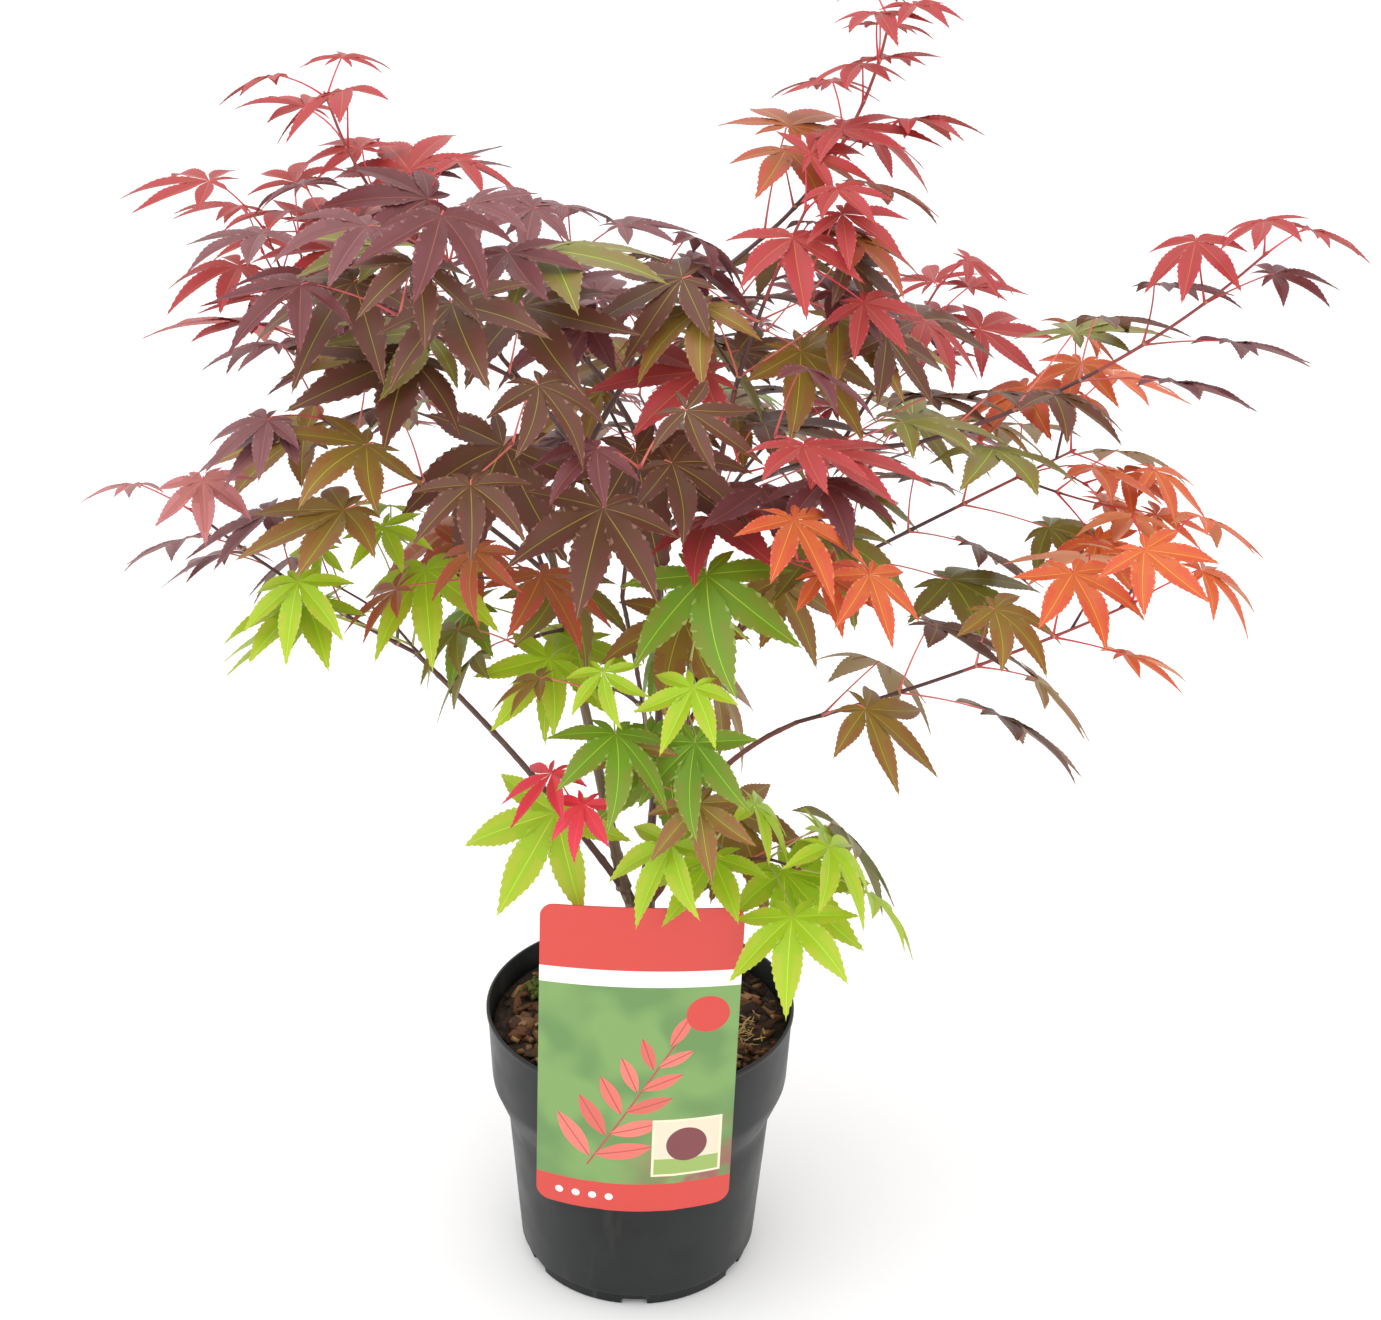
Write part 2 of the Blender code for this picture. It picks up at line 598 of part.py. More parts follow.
def make_pot(collection, cutters):
    """The pot: rim, collar, shoulder, tapering body and foot, with drain holes round its foot."""
    body_top = RIM_RADIUS - 0.0127
    outer = [
        (RIM_RADIUS - 0.0006, POT_HEIGHT),
        (RIM_RADIUS, POT_HEIGHT - 0.0006),
        (RIM_RADIUS, POT_HEIGHT - 0.0028),
        (RIM_RADIUS - 0.0010, POT_HEIGHT - 0.0038),
        (RIM_RADIUS - COLLAR_DRAFT, COLLAR_FOOT),
        (RIM_RADIUS - 0.0045, 0.125),
        (RIM_RADIUS - 0.0085, 0.115),
        (body_top, 0.105),
        (body_top - 0.0008, 0.097),
        (FOOT_RADIUS + 0.0036, 0.011),
        (FOOT_RADIUS + 0.0024, 0.0085),
        (FOOT_RADIUS + 0.0006, 0.0075),
        (FOOT_RADIUS, 0.0006),
        (FOOT_RADIUS - 0.0006, 0.0),
        (0.0, 0.0),
    ]
    inner = [
        (0.0, FLOOR),
        (FOOT_RADIUS - WALL - 0.001, FLOOR),
        (FOOT_RADIUS - WALL + 0.0030, 0.011),
        (body_top - 0.0008 - WALL, 0.097),
        (body_top - WALL, 0.106),
        (RIM_RADIUS - 0.0085 - WALL, 0.116),
        (RIM_RADIUS - COLLAR_DRAFT - WALL, COLLAR_FOOT),
        (RIM_RADIUS - WALL, POT_HEIGHT - 0.0006),
        (RIM_RADIUS - WALL + 0.0006, POT_HEIGHT),
    ]
    profile = inner + outer
    pot = turned("pot", profile, plain_material("pot_plastic", BLACK_PLASTIC, 0.5), collection)
    for i in range(DRAIN_HOLES):
        turn = math.tau * (i + 0.5) / DRAIN_HOLES
        mesh = bpy.data.meshes.new(f"drain_cutter_{i}")
        shape = bmesh.new()
        bmesh.ops.create_cube(shape, size=1.0)
        bmesh.ops.scale(shape, vec=(0.020, DRAIN_WIDTH, 2 * DRAIN_HEIGHT), verts=shape.verts)
        bmesh.ops.translate(shape, vec=(FOOT_RADIUS - 0.001, 0, 0), verts=shape.verts)
        bmesh.ops.rotate(shape, matrix=Matrix.Rotation(turn, 3, "Z"), verts=shape.verts)
        shape.to_mesh(mesh)
        shape.free()
        cutter = new_object(mesh.name, mesh, None, cutters)
        cutter.hide_render = True
        cutter.display_type = "WIRE"
    cut = pot.modifiers.new("Drain", "BOOLEAN")
    cut.operation = "DIFFERENCE"
    cut.operand_type = "COLLECTION"
    cut.collection = cutters
    return pot


def make_soil(collection):
    """The growing mix that fills the pot, a gap clear of its wall."""
    body_top = RIM_RADIUS - 0.0127
    inset = WALL + GAP
    edge = SOIL_LEVEL - SOIL_EDGE_DROP
    profile = [
        (0.0, SOIL_LEVEL),
        (0.030, SOIL_LEVEL),
        (0.070, SOIL_LEVEL - SOIL_EDGE_DROP / 2),
        (collar_inside(edge) - GAP, edge),
        (RIM_RADIUS - COLLAR_DRAFT - inset - 0.0004, COLLAR_FOOT),
        (body_top - inset - 0.0006, 0.105),
        (FOOT_RADIUS - WALL + 0.0030 - GAP - 0.0004, 0.0115),
        (FOOT_RADIUS - WALL - 0.0020, FLOOR + GAP),
        (0.0, FLOOR + GAP),
    ]
    return turned("growing_mix", profile, plain_material("bark_chips", BARK_CHIPS, 0.9), collection)


def make_label(collection):
    """The stiff label: a bowed plate with round corners and a hook over the pot's rim."""
    half, tall = LABEL_WIDTH / 2, LABEL_TOP - LABEL_FOOT
    shape = bmesh.new()
    bmesh.ops.create_grid(shape, x_segments=1, y_segments=1, size=0.5)
    bmesh.ops.scale(shape, vec=(LABEL_WIDTH, tall, 1), verts=shape.verts)
    corners = list(shape.verts)
    bmesh.ops.bevel(shape, geom=corners, offset=LABEL_CORNER, segments=3, affect="VERTICES", profile=0.5)
    for i in range(1, LABEL_STRIPS):
        across = -half + LABEL_WIDTH * i / LABEL_STRIPS
        everything = shape.verts[:] + shape.edges[:] + shape.faces[:]
        bmesh.ops.bisect_plane(shape, geom=everything, plane_co=(across, 0, 0), plane_no=(1, 0, 0))
    middle = (LABEL_TOP + LABEL_FOOT) / 2
    for vert in shape.verts:
        x, z = vert.co.x, vert.co.y + middle
        vert.co = (x, label_front() + label_bow(x, z), z)
    mesh = bpy.data.meshes.new("label")
    shape.to_mesh(mesh)
    shape.free()
    label = new_object("label", mesh, plain_material("label_print", LABEL_RED, 0.4), collection)
    wall = label.modifiers.new("Thickness", "SOLIDIFY")
    wall.thickness = LABEL_THICK
    wall.offset = -1.0
    apply_modifiers(label)
    over = POT_HEIGHT + GAP + LABEL_THICK / 2
    inside = -math.sqrt(collar_inside(HOOK_FOOT) ** 2 - (HOOK_WIDTH / 2) ** 2) + GAP + LABEL_THICK / 2
    route = [(label_front() + LABEL_THICK * 0.75, over), (inside, over), (inside, HOOK_FOOT)]
    mesh = bpy.data.meshes.new("hook")
    verts = [(x, y, z) for y, z in route for x in (-HOOK_WIDTH / 2, HOOK_WIDTH / 2)]
    mesh.from_pydata(verts, [], [(0, 1, 3, 2), (2, 3, 5, 4)])
    hook = new_object("hook", mesh, None, collection)
    wall = hook.modifiers.new("Thickness", "SOLIDIFY")
    wall.thickness = LABEL_THICK
    wall.offset = 0.0
    wall.use_even_offset = True
    apply_modifiers(hook)
    join = label.modifiers.new("Join", "BOOLEAN")
    join.operation = "UNION"
    join.object = hook
    apply_modifiers(label)
    bpy.data.objects.remove(hook)
    for vert in label.data.vertices:
        if vert.co.y < -RIM_RADIUS or abs(vert.co.x) > HOOK_WIDTH:
            vert.co.x += (vert.co.z - POT_HEIGHT) * LABEL_LEAN
    return label


def limb_curve(name: str, points: list, radii: list, material, collection):
    """A limb as a curve with a round section and closed ends, made a mesh."""
    curve = bpy.data.curves.new(name, "CURVE")
    curve.dimensions = "3D"
    curve.bevel_depth = 1.0
    curve.bevel_resolution = 1
    curve.use_fill_caps = True
    spline = curve.splines.new("POLY")
    spline.points.add(len(points) - 1)
    for spot, point, radius in zip(spline.points, points, radii):
        spot.co = (*point, 1)
        spot.radius = radius
    guide = bpy.data.objects.new(f"{name}_guide", curve)
    collection.objects.link(guide)
    bpy.context.view_layer.update()
    mesh = bpy.data.meshes.new_from_object(guide.evaluated_get(bpy.context.evaluated_depsgraph_get()))
    shape = bmesh.new()
    shape.from_mesh(mesh)
    bmesh.ops.remove_doubles(shape, verts=shape.verts, dist=0.00002)
    bmesh.ops.recalc_face_normals(shape, faces=shape.faces)
    shape.to_mesh(mesh)
    shape.free()
    mesh.materials.clear()
    thing = new_object(name, mesh, material, collection)
    thing.matrix_world = guide.matrix_world.copy()
    bpy.data.objects.remove(guide)
    return thing


def longer(points: list, extra: float) -> list:
    """A path that runs on a little past both its ends."""
    first = points[0] + (points[0] - points[1]).normalized() * extra
    last = points[-1] + (points[-1] - points[-2]).normalized() * extra
    return [first, *points[1:-1], last]


def make_limbs(limbs: dict, paths: dict, collection, cutters):
    """Every limb, cut a gap clear of the limbs that it leaves or passes at its foot."""
    bark = plain_material("bark", BARK, 0.7)
    done = []
    for name, points in paths.items():
        limb = limbs[name]
        radii = limb_radii(limb, points)
        thing = limb_curve(name, points, radii, bark, collection)
        body = Room.bounds(points)
        tree = BVHTree.FromPolygons(*tube(points, [r + GAP for r in radii], 6))
        for other in done:
            wide = [r + GAP * 1.3 for r in limb_radii(limbs[other], paths[other])]
            path = longer(paths[other], GAP)
            centre, reach = Room.bounds(path)
            near = (centre - body[0]).length < reach + body[1] + 0.02
            if not near or not tree.overlap(BVHTree.FromPolygons(*tube(path, wide, 6))):
                continue
            cutter = limb_curve(f"{name}_cutter", path, wide, None, cutters)
            cut = thing.modifiers.new("Seat", "BOOLEAN")
            cut.operation = "DIFFERENCE"
            cut.object = cutter
            apply_modifiers(thing)
            bpy.data.objects.remove(cutter)
            keep_largest(thing)
        thing.data.shade_smooth()
        thing.data.set_sharp_from_angle(angle=math.radians(50))
        done.append(name)


def make_mass(mass: Mass, path: list, leaves: list, collection):
    """One mass: its twig, stalks and blades joined by one union."""
    middle_tint = mass.tints[len(mass.tints) // 2]
    leafy = plain_material(mass.name, TINTS[middle_tint], 0.5)
    radii = [TWIG_RADIUS * (1.0 - 0.2 * i / (len(path) - 1)) for i in range(len(path))]
    twig = new_object(mass.name, mesh_of(mass.name, *tube(path, radii, 3)), leafy, collection)
    pieces = bpy.data.collections.new(f"{mass.name}_pieces")
    bpy.context.scene.collection.children.link(pieces)
    for leaf in leaves:
        new_object("leaf", mesh_of("leaf", *blade(leaf, LEAF_THICK, stalk=True)), None, pieces)
    join = twig.modifiers.new("Join", "BOOLEAN")
    join.operation = "UNION"
    join.operand_type = "COLLECTION"
    join.collection = pieces
    join.solver = "EXACT"
    apply_modifiers(twig)
    for piece in list(pieces.objects):
        bpy.data.objects.remove(piece)
    bpy.data.collections.remove(pieces)
    keep_largest(twig)


def main():
    """Build the pot, the growing mix, the label, the limbs and the masses of leaves."""
    for thing in list(bpy.data.objects):
        bpy.data.objects.remove(thing)
    plant = bpy.data.collections.new("potted_maple")
    drain_cutters = bpy.data.collections.new("drain_cutters")
    seat_cutters = bpy.data.collections.new("seat_cutters")
    for collection in (plant, drain_cutters, seat_cutters):
        bpy.context.scene.collection.children.link(collection)
    make_pot(plant, drain_cutters)
    make_soil(plant)
    make_label(plant)
    limbs, paths = grow_limbs()
    make_limbs(limbs, paths, plant, seat_cutters)
    for mass, path, leaves in grow_masses(limbs, paths).values():
        make_mass(mass, path, leaves, plant)


if __name__ == "__main__":
    main()
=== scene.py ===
"""Dress a potted Japanese maple: a young many-stemmed maple with cut, purple leaves in a nursery pot.

Metres, +Z up. The origin is the middle of the pot's flat underside, and -Y is the side of the label.
The limbs, twigs and leaves grow by the same rule as the solids, and are carried on to finer shoots,
toothed lobes, ribs, stalks and buds. Sizes of limbs and leaves are in millimetres and angles in degrees,
as their fields say.
"""

import json
import logging
import math
import random
from dataclasses import dataclass, field, replace
from enum import Enum

import bpy
import numpy as np
from mathutils import Matrix, Vector, noise
from mathutils.bvhtree import BVHTree

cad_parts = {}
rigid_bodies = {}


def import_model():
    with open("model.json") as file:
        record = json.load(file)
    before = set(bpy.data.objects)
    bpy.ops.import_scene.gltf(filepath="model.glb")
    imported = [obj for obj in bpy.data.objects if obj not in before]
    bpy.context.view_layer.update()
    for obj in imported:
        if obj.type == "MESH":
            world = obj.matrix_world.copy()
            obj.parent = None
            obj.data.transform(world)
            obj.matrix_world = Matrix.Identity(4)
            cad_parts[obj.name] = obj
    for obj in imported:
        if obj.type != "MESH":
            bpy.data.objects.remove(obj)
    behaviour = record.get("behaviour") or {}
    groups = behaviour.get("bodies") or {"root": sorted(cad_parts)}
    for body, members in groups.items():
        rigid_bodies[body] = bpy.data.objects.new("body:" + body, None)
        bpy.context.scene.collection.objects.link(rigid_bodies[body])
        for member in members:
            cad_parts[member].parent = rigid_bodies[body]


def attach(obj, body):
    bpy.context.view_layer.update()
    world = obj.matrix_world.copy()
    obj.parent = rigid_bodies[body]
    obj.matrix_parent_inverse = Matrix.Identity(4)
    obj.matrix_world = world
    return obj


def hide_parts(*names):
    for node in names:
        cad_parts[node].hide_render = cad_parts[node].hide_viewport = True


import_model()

LOG = logging.getLogger("potted_maple")

GAP = 0.0003  # left between solids that are seated on each other

# Pot, growing mix and label, as in the solids
RIM_RADIUS = 0.095
POT_HEIGHT = 0.178
FOOT_RADIUS = 0.071
WALL = 0.002
SOIL_LEVEL = 0.168
LABEL_WIDTH = 0.116
LABEL_FOOT, LABEL_TOP = 0.092, 0.304
LABEL_THICK = 0.0008
LABEL_BOW_TOP, LABEL_BOW_FOOT = 0.003, 0.014
LABEL_LEAN = 0.02

# Growth
LIMB_STEP = 0.022  # between the points of a limb's middle line
TWIG_STEP = 0.024
TWIG_RADIUS = 0.0013
STALK_RADIUS = 0.0008
STALK_SINK = 0.0008  # how far a stalk's foot is set back in its twig
LEAF_THICK = 0.0016  # at the leaf's middle
ROOM_GAP = 0.0006  # kept free round leaves and stalks
TRIES = 4  # draws for a leaf before it is left out
FIRST_PAIR = 0.08  # share of the twig where its first pair stands
LEAST_SINE = 0.25  # a twig that meets its limb more slantingly is set off as if at this sine

# Leaf, in units of its middle lobe
LOBE_ANGLES = (-94, -46, 0, 46, 94)
LOBE_LENGTHS = (0.68, 0.91, 1.0, 0.91, 0.68)
NOTCH_REACH = (0.24, 0.27, 0.27, 0.24)
SINUS_REACH = 0.07  # from the stalk's end to the leaf's centre
BROAD_LOBES = (1, 2, 3)  # the lobes whose broadest places are drawn
BROAD_AT, BROAD_HALF = 0.50, 0.160
CURL = 1.5  # a lobe's droop grows by this power of the reach
YOUNG_LOSS = 0.34  # share of its size that the youngest leaf lacks
BLADE_MARGIN = 0.012  # kept free round the outline
STALK_ROOT = 0.2  # share of the stalk that may meet its own twig
STALK_FREE = (0.18, 0.88)  # shares of the stalk between which it stays clear of its blade

# What each leaf is drawn from: a range, or how far it strays to either side
SIZE_RANGE = (0.80, 1.12)
SPLAY_RANGE = (35, 65)
LIFT_RANGE = (0.05, 0.7)
STALK_RANGE = (0.5, 0.9)
STALK_LEAST = 0.004
STALK_FLATTER = 0.6  # the outer half of a stalk rises by this share of the inner half's rise
FORWARD = 0.35  # how much the twig's own way draws the blade's heading
HANG_RANGE = (0.06, 0.36)
DROOP_RANGE = (0.55, 1.45)
HEADING_STRAY, FALL_STRAY, TILT_STRAY, ROLL_STRAY = 40, 14, 20, 18
SWIRL_STRAY, TINT_STRAY = 0.16, 0.7

# What each finer shoot is drawn from
SHOOT_PLACE = (0.75, 1.0)
SHOOT_SPLAY = (35, 70)
SHOOT_LIFT = (0.0, 0.35)
SHOOT_NODES = ([1.0], [0.5, 1.0], [0.45, 1.0])
SHOOT_LENGTH, SHOOT_MORE = (22, 34), 26  # mm, and mm more for a second pair
SHOOT_BEND = 12
SHOOT_LEAF = (0.98, 1.22)
SHOOT_SEEDS = 100000
SHOOT_THIN = 0.8

# Sides of the simple shapes that take up room
STALK_SIDES, LIMB_SIDES, POT_SIDES = 3, 6, 24


def linear(red: int, green: int, blue: int) -> tuple[float, float, float, float]:
    """Turn a colour of 0 to 255 into the linear colour that a shader takes."""
    shares = (value / 255 for value in (red, green, blue))
    return (*(s / 12.92 if s <= 0.04045 else ((s + 0.055) / 1.055) ** 2.4 for s in shares), 1.0)


class Tint(Enum):
    """Names of the leaf colours that a spray can have."""

    MAROON = "maroon"
    PURPLE = "purple"
    DUSKY = "dusky"
    BROWN = "brown"
    BRONZE = "bronze"
    OLIVE = "olive"
    GREEN = "green"
    LIME = "lime"
    ORANGE = "orange"
    RUST = "rust"
    RED = "red"
    CRIMSON = "crimson"


class Bark(Enum):
    """Names of the three barks that the stems show."""

    STRIPED = "striped"
    DARK = "dark"
    RED_BROWN = "red_brown"


@dataclass(frozen=True)
class LimbSpec:
    """A tapering stem or bough: where it leaves its parent, its way, and its bend along the way."""

    name: str
    parent: str
    at: float  # share of the parent's length
    heading: float  # degrees from +X, seen from above
    rise: float  # degrees above level
    length: float  # mm
    veer: float  # change of heading along the limb
    lift: float  # change of rise along the limb
    foot: float  # thickness at its foot, mm
    tip: float  # thickness at its tip, mm


@dataclass(frozen=True)
class MassSpec:
    """A leafy twig and its pairs of leaves, from its limb to the furthest tips."""

    name: str
    parent: str
    at: float
    heading: float
    rise: float
    length: float
    veer: float
    lift: float
    leaf: float  # middle lobe of the largest leaves, mm
    fall: float  # how far the blades hang down
    tints: tuple[str, ...]  # from the foot of the twig to its tip
    seeds: tuple[int, ...]  # one for each pair of leaves, from the foot to the tip


TRUNK = LimbSpec("trunk", "", 0.0, 180, 88, 96, 0, 2, 11, 11)
TRUNK_X = 0.0037
TRUNK_THICKNESS = ((0.0, 19), (0.20, 12.5), (0.55, 11), (0.85, 12.5), (1.0, 10.5))
LIMBS = (
    #    name              parent         at    head rise  len  veer lift foot  tip
    LimbSpec("left_fork", "trunk", 0.67, 180, 58, 30, 0, 12, 7.4, 7.0),
    LimbSpec("left_stem", "left_fork", 1.00, -167, 79, 229, 2, 0, 7.0, 4.6),
    LimbSpec("left_low_stem", "left_fork", 0.90, -157, 59, 220, -1, -8, 4.8, 2.8),
    LimbSpec("centre_stem", "trunk", 1.00, 39, 83, 264, 110, -3, 5.6, 3.6),
    LimbSpec("right_fork", "trunk", 0.82, 0, 52, 40, 0, 20, 5.6, 5.2),
    LimbSpec("right_stem", "right_fork", 1.00, -68, 87, 305, 49, -7, 5.0, 3.0),
    LimbSpec("low_right_stem", "trunk", 0.63, -33, 46, 74, 0, 2, 3.2, 2.4),
    LimbSpec("leader", "left_stem", 1.00, 25, 75, 204, -16, -37, 4.0, 2.8),
    LimbSpec("left_back_arm", "left_stem", 0.97, 135, 39, 130, 4, -3, 3.2, 2.4),
    LimbSpec("left_front_arm", "left_stem", 0.91, -147, 47, 108, 0, -6, 3.2, 2.4),
    LimbSpec("high_left_arm", "centre_stem", 1.00, 155, 67, 145, 16, -56, 3.4, 2.4),
    LimbSpec("front_left_arm", "centre_stem", 0.75, -138, 58, 184, -2, -8, 3.4, 2.4),
    LimbSpec("high_right_arm", "centre_stem", 0.82, -18, 42, 170, 3, -30, 4.0, 2.8),
    LimbSpec("slim_stem", "centre_stem", 0.22, -103, 70, 166, -8, -4, 3.0, 2.4),
    LimbSpec("low_right_arm", "right_stem", 0.05, -42, 69, 126, 20, -35, 4.0, 2.8),
    LimbSpec("mid_right_arm", "right_stem", 0.38, 37, 44, 114, -13, -28, 3.4, 2.4),
    LimbSpec("back_left_arm", "left_stem", 0.60, 112, 42, 165, 8, -8, 3.4, 2.4),
    LimbSpec("back_arm", "centre_stem", 0.40, 92, 46, 165, -6, -8, 3.4, 2.4),
    LimbSpec("back_right_arm", "right_stem", 0.28, 58, 42, 175, -8, -8, 3.4, 2.4),
)
MASSES = (
    MassSpec("crown_front", "front_left_arm", 0.42, -108, 35, 138, 0, -15, 72, 30,
         ("brown", "brown"), (252, 485)),
    MassSpec("centre_front", "slim_stem", 1, -81, 62, 122, 0, -10, 66, 22,
         ("green", "brown", "maroon"), (682, 23, 755)),
    MassSpec("crown_left_front", "front_left_arm", 0.88, -126, 33, 107, 0, 0, 70, 8,
         ("brown", "brown", "maroon"), (527, 560, 361)),
    MassSpec("low_right_tip", "low_right_arm", 1, -20, 26, 214, -5, 10, 64, 24,
         ("bronze", "brown", "bronze", "red", "orange"), (786, 1, 395, 339, 746)),
    MassSpec("right_front", "right_stem", 0.72, -70, 51, 125, 0, -15, 66, 6,
         ("brown", "red", "maroon"), (697, 134, 453)),
    MassSpec("high_right_front", "high_right_arm", 0.5, -69, 27, 124, 0, -10, 66, 4,
         ("olive", "maroon", "maroon", "brown"), (199, 799, 455, 612)),
    MassSpec("right_front_low", "right_stem", 0.5, -67, 50, 125, 0, -15, 58, 30,
         ("bronze", "orange"), (394, 234)),
    MassSpec("centre_low_spray", "right_stem", 0.22, -88, 61, 137, 0, -25, 60, 42,
         ("bronze", "green", "lime"), (667, 712, 339)),
    MassSpec("left_centre_spray", "slim_stem", 0.45, -113, 41, 83, 0, -20, 54, 34,
         ("green", "lime", "bronze"), (668, 610, 806)),
    MassSpec("low_front_spray", "centre_stem", 0.06, -87, 62, 127, 0, -30, 66, 40,
         ("bronze", "bronze"), (111, 247)),
    MassSpec("left_front_tip", "left_front_arm", 1, -153, 33, 77, 5, 11, 64, 4,
         ("brown", "bronze", "purple", "purple"), (725, 16, 281, 121)),
    MassSpec("left_low_side", "left_low_stem", 0.96, -135, 57, 70, -11, -20, 62, 30,
         ("lime", "rust"), (238, 634)),
    MassSpec("crown_mid_left", "front_left_arm", 1, -133, 55, 72, 8, 6, 68, -4,
         ("olive", "maroon", "purple"), (848, 318, 62)),
    MassSpec("outer_left_spray", "left_stem", 0.9, -123, 28, 79, 0, -10, 64, 26,
         ("olive", "rust", "rust"), (118, 328, 725)),
    MassSpec("left_low_tip", "left_low_stem", 1, -170, 32, 148, 3, 13, 62, 18,
         ("green", "lime", "purple", "purple", "dusky"), (784, 622, 844, 263, 495)),
    MassSpec("low_right_spray", "low_right_stem", 1, -44, 58, 72, 3, -60, 66, 40,
         ("lime", "olive", "lime", "bronze"), (814, 136, 396, 610)),
    MassSpec("low_left_spray", "left_stem", 0.2, -107, 46, 75, 0, -20, 62, 38,
         ("lime", "green", "crimson"), (474, 40)),
    MassSpec("mid_left_spray", "left_stem", 0.78, -120, 18, 49, 0, -15, 58, 26,
         ("green", "olive", "olive"), (664, 420, 631)),
    MassSpec("high_right_tip", "high_right_arm", 1, -6, 20, 212, -3, 28, 62, 8,
         ("brown", "olive", "brown", "maroon", "maroon", "red"), (659, 311, 605, 605, 395, 845)),
    MassSpec("right_stem_top", "right_stem", 1, -20, 76, 110, 7, -10, 62, 8,
         ("bronze", "brown", "maroon", "red"), (322, 492, 213, 212)),
    MassSpec("leader_left", "leader", 0.5, -54, 65, 70, 0, 0, 66, 12,
         ("olive", "maroon", "maroon"), (191, 373, 512)),
    MassSpec("leader_right", "leader", 0.8, -22, 13, 63, 0, -10, 66, 24,
         ("bronze", "brown"), (428, 674)),
    MassSpec("crown_left", "high_left_arm", 0.86, -155, 22, 105, 0, 10, 68, -4,
         ("maroon", "maroon", "purple"), (202, 560, 778)),
    MassSpec("crown_mid", "high_left_arm", 0.42, -115, 70, 67, 0, 10, 70, -6,
         ("purple", "maroon", "purple"), (227, 718, 550)),
    MassSpec("top_spray", "leader", 1, 4, 39, 146, 10, 42, 56, 6,
         ("maroon", "rust", "maroon", "red", "red", "red", "red"), (336, 663, 547, 195, 860, 357, 632)),
    MassSpec("mid_right_tip", "mid_right_arm", 1, 16, 24, 156, 0, -2, 60, 14,
         ("olive", "brown", "olive", "bronze", "orange"), (330, 640, 321, 704, 245)),
    MassSpec("high_left_tip", "high_left_arm", 1, 171, 34, 131, -13, 37, 62, 0,
         ("maroon", "maroon", "red", "maroon", "red"), (552, 72, 794, 577, 270)),
    MassSpec("centre_top", "centre_stem", 0.93, 68, 41, 80, 0, 5, 66, 2,
         ("bronze", "maroon"), (853, 34, 712)),
    MassSpec("left_back_tip", "left_back_arm", 1, 161, -1, 98, -10, 43, 70, 0,
         ("maroon", "red", "red", "red"), (264, 367, 742, 344)),
    MassSpec("high_right_back", "high_right_arm", 0.72, 61, 26, 142, 0, 0, 62, 8,
         ("brown", "maroon", "red"), (840, 348, 187, 46)),
    MassSpec("leader_back", "leader", 0.58, 63, -5, 163, 0, -10, 62, 4,
         ("brown", "maroon", "maroon"), (687, 725, 348)),
    MassSpec("high_back_spray", "centre_stem", 0.92, 112, 24, 163, 0, -15, 66, 4,
         ("brown", "maroon", "maroon"), (777, 24, 161)),
    MassSpec("back_left_spray", "back_left_arm", 1, 129, 3, 102, 0, -10, 64, 15,
         ("olive", "purple", "maroon"), (315, 53, 340)),
    MassSpec("back_right_spray", "back_right_arm", 1, 59, 0, 110, 0, -10, 64, 15,
         ("olive", "brown", "maroon"), (379, 489, 700)),
    MassSpec("back_spray", "back_arm", 1, 102, 10, 103, 0, -10, 64, 15,
         ("green", "brown", "maroon"), (281, 344, 866)),
)

SHOOTS = (  # the mass that each finer shoot springs from, and its seed
    ("crown_left_front", 168), ("low_right_tip", 101), ("low_right_spray", 221), ("right_stem_top", 71),
    ("mid_right_tip", 302), ("high_left_tip", 358), ("left_back_tip", 189), ("high_right_back", 360),
    ("right_front_low", 766), ("left_low_tip", 474), ("right_stem_top", 547), ("leader_right", 440),
    ("mid_right_tip", 653), ("left_back_tip", 424), ("high_right_back", 441), ("back_spray", 732),
    ("left_back_tip", 1219), ("low_right_tip", 1441), ("mid_right_tip", 1591), ("high_right_back", 1650),
)


def aim(heading: float, rise: float) -> Vector:
    """Give the unit vector of a heading and a rise in degrees."""
    turn, up = math.radians(heading), math.radians(rise)
    return Vector((math.cos(turn) * math.cos(up), math.sin(turn) * math.cos(up), math.sin(up)))


def arc(start: Vector, spec: LimbSpec | MassSpec, step: float) -> list[Vector]:
    """Lay the points of a limb or twig, whose way turns evenly along its length."""
    length = spec.length / 1000
    count = max(2, round(length / step))
    points = [Vector(start)]
    for i in range(count):
        share = (i + 0.5) / count
        way = aim(spec.heading + spec.veer * share, spec.rise + spec.lift * share)
        points.append(points[-1] + way * (length / count))
    return points


def along(points: list[Vector], share: float) -> tuple[Vector, Vector]:
    """Give the point and the way at a share of a path."""
    place = min(max(share, 0.0), 1.0) * (len(points) - 1)
    i = min(int(place), len(points) - 2)
    way = (points[i + 1] - points[i]).normalized()
    return points[i].lerp(points[i + 1], place - i), way


def radius_at(spec: LimbSpec, share: float) -> float:
    """Give half a limb's thickness at a share of its length; the trunk flares at its foot."""
    if spec is not TRUNK:
        return (spec.foot + (spec.tip - spec.foot) * share) / 2000
    for (low, thick), (high, next_thick) in zip(TRUNK_THICKNESS, TRUNK_THICKNESS[1:]):
        if share <= high:
            return (thick + (next_thick - thick) * (share - low) / (high - low)) / 2000
    return TRUNK_THICKNESS[-1][1] / 2000


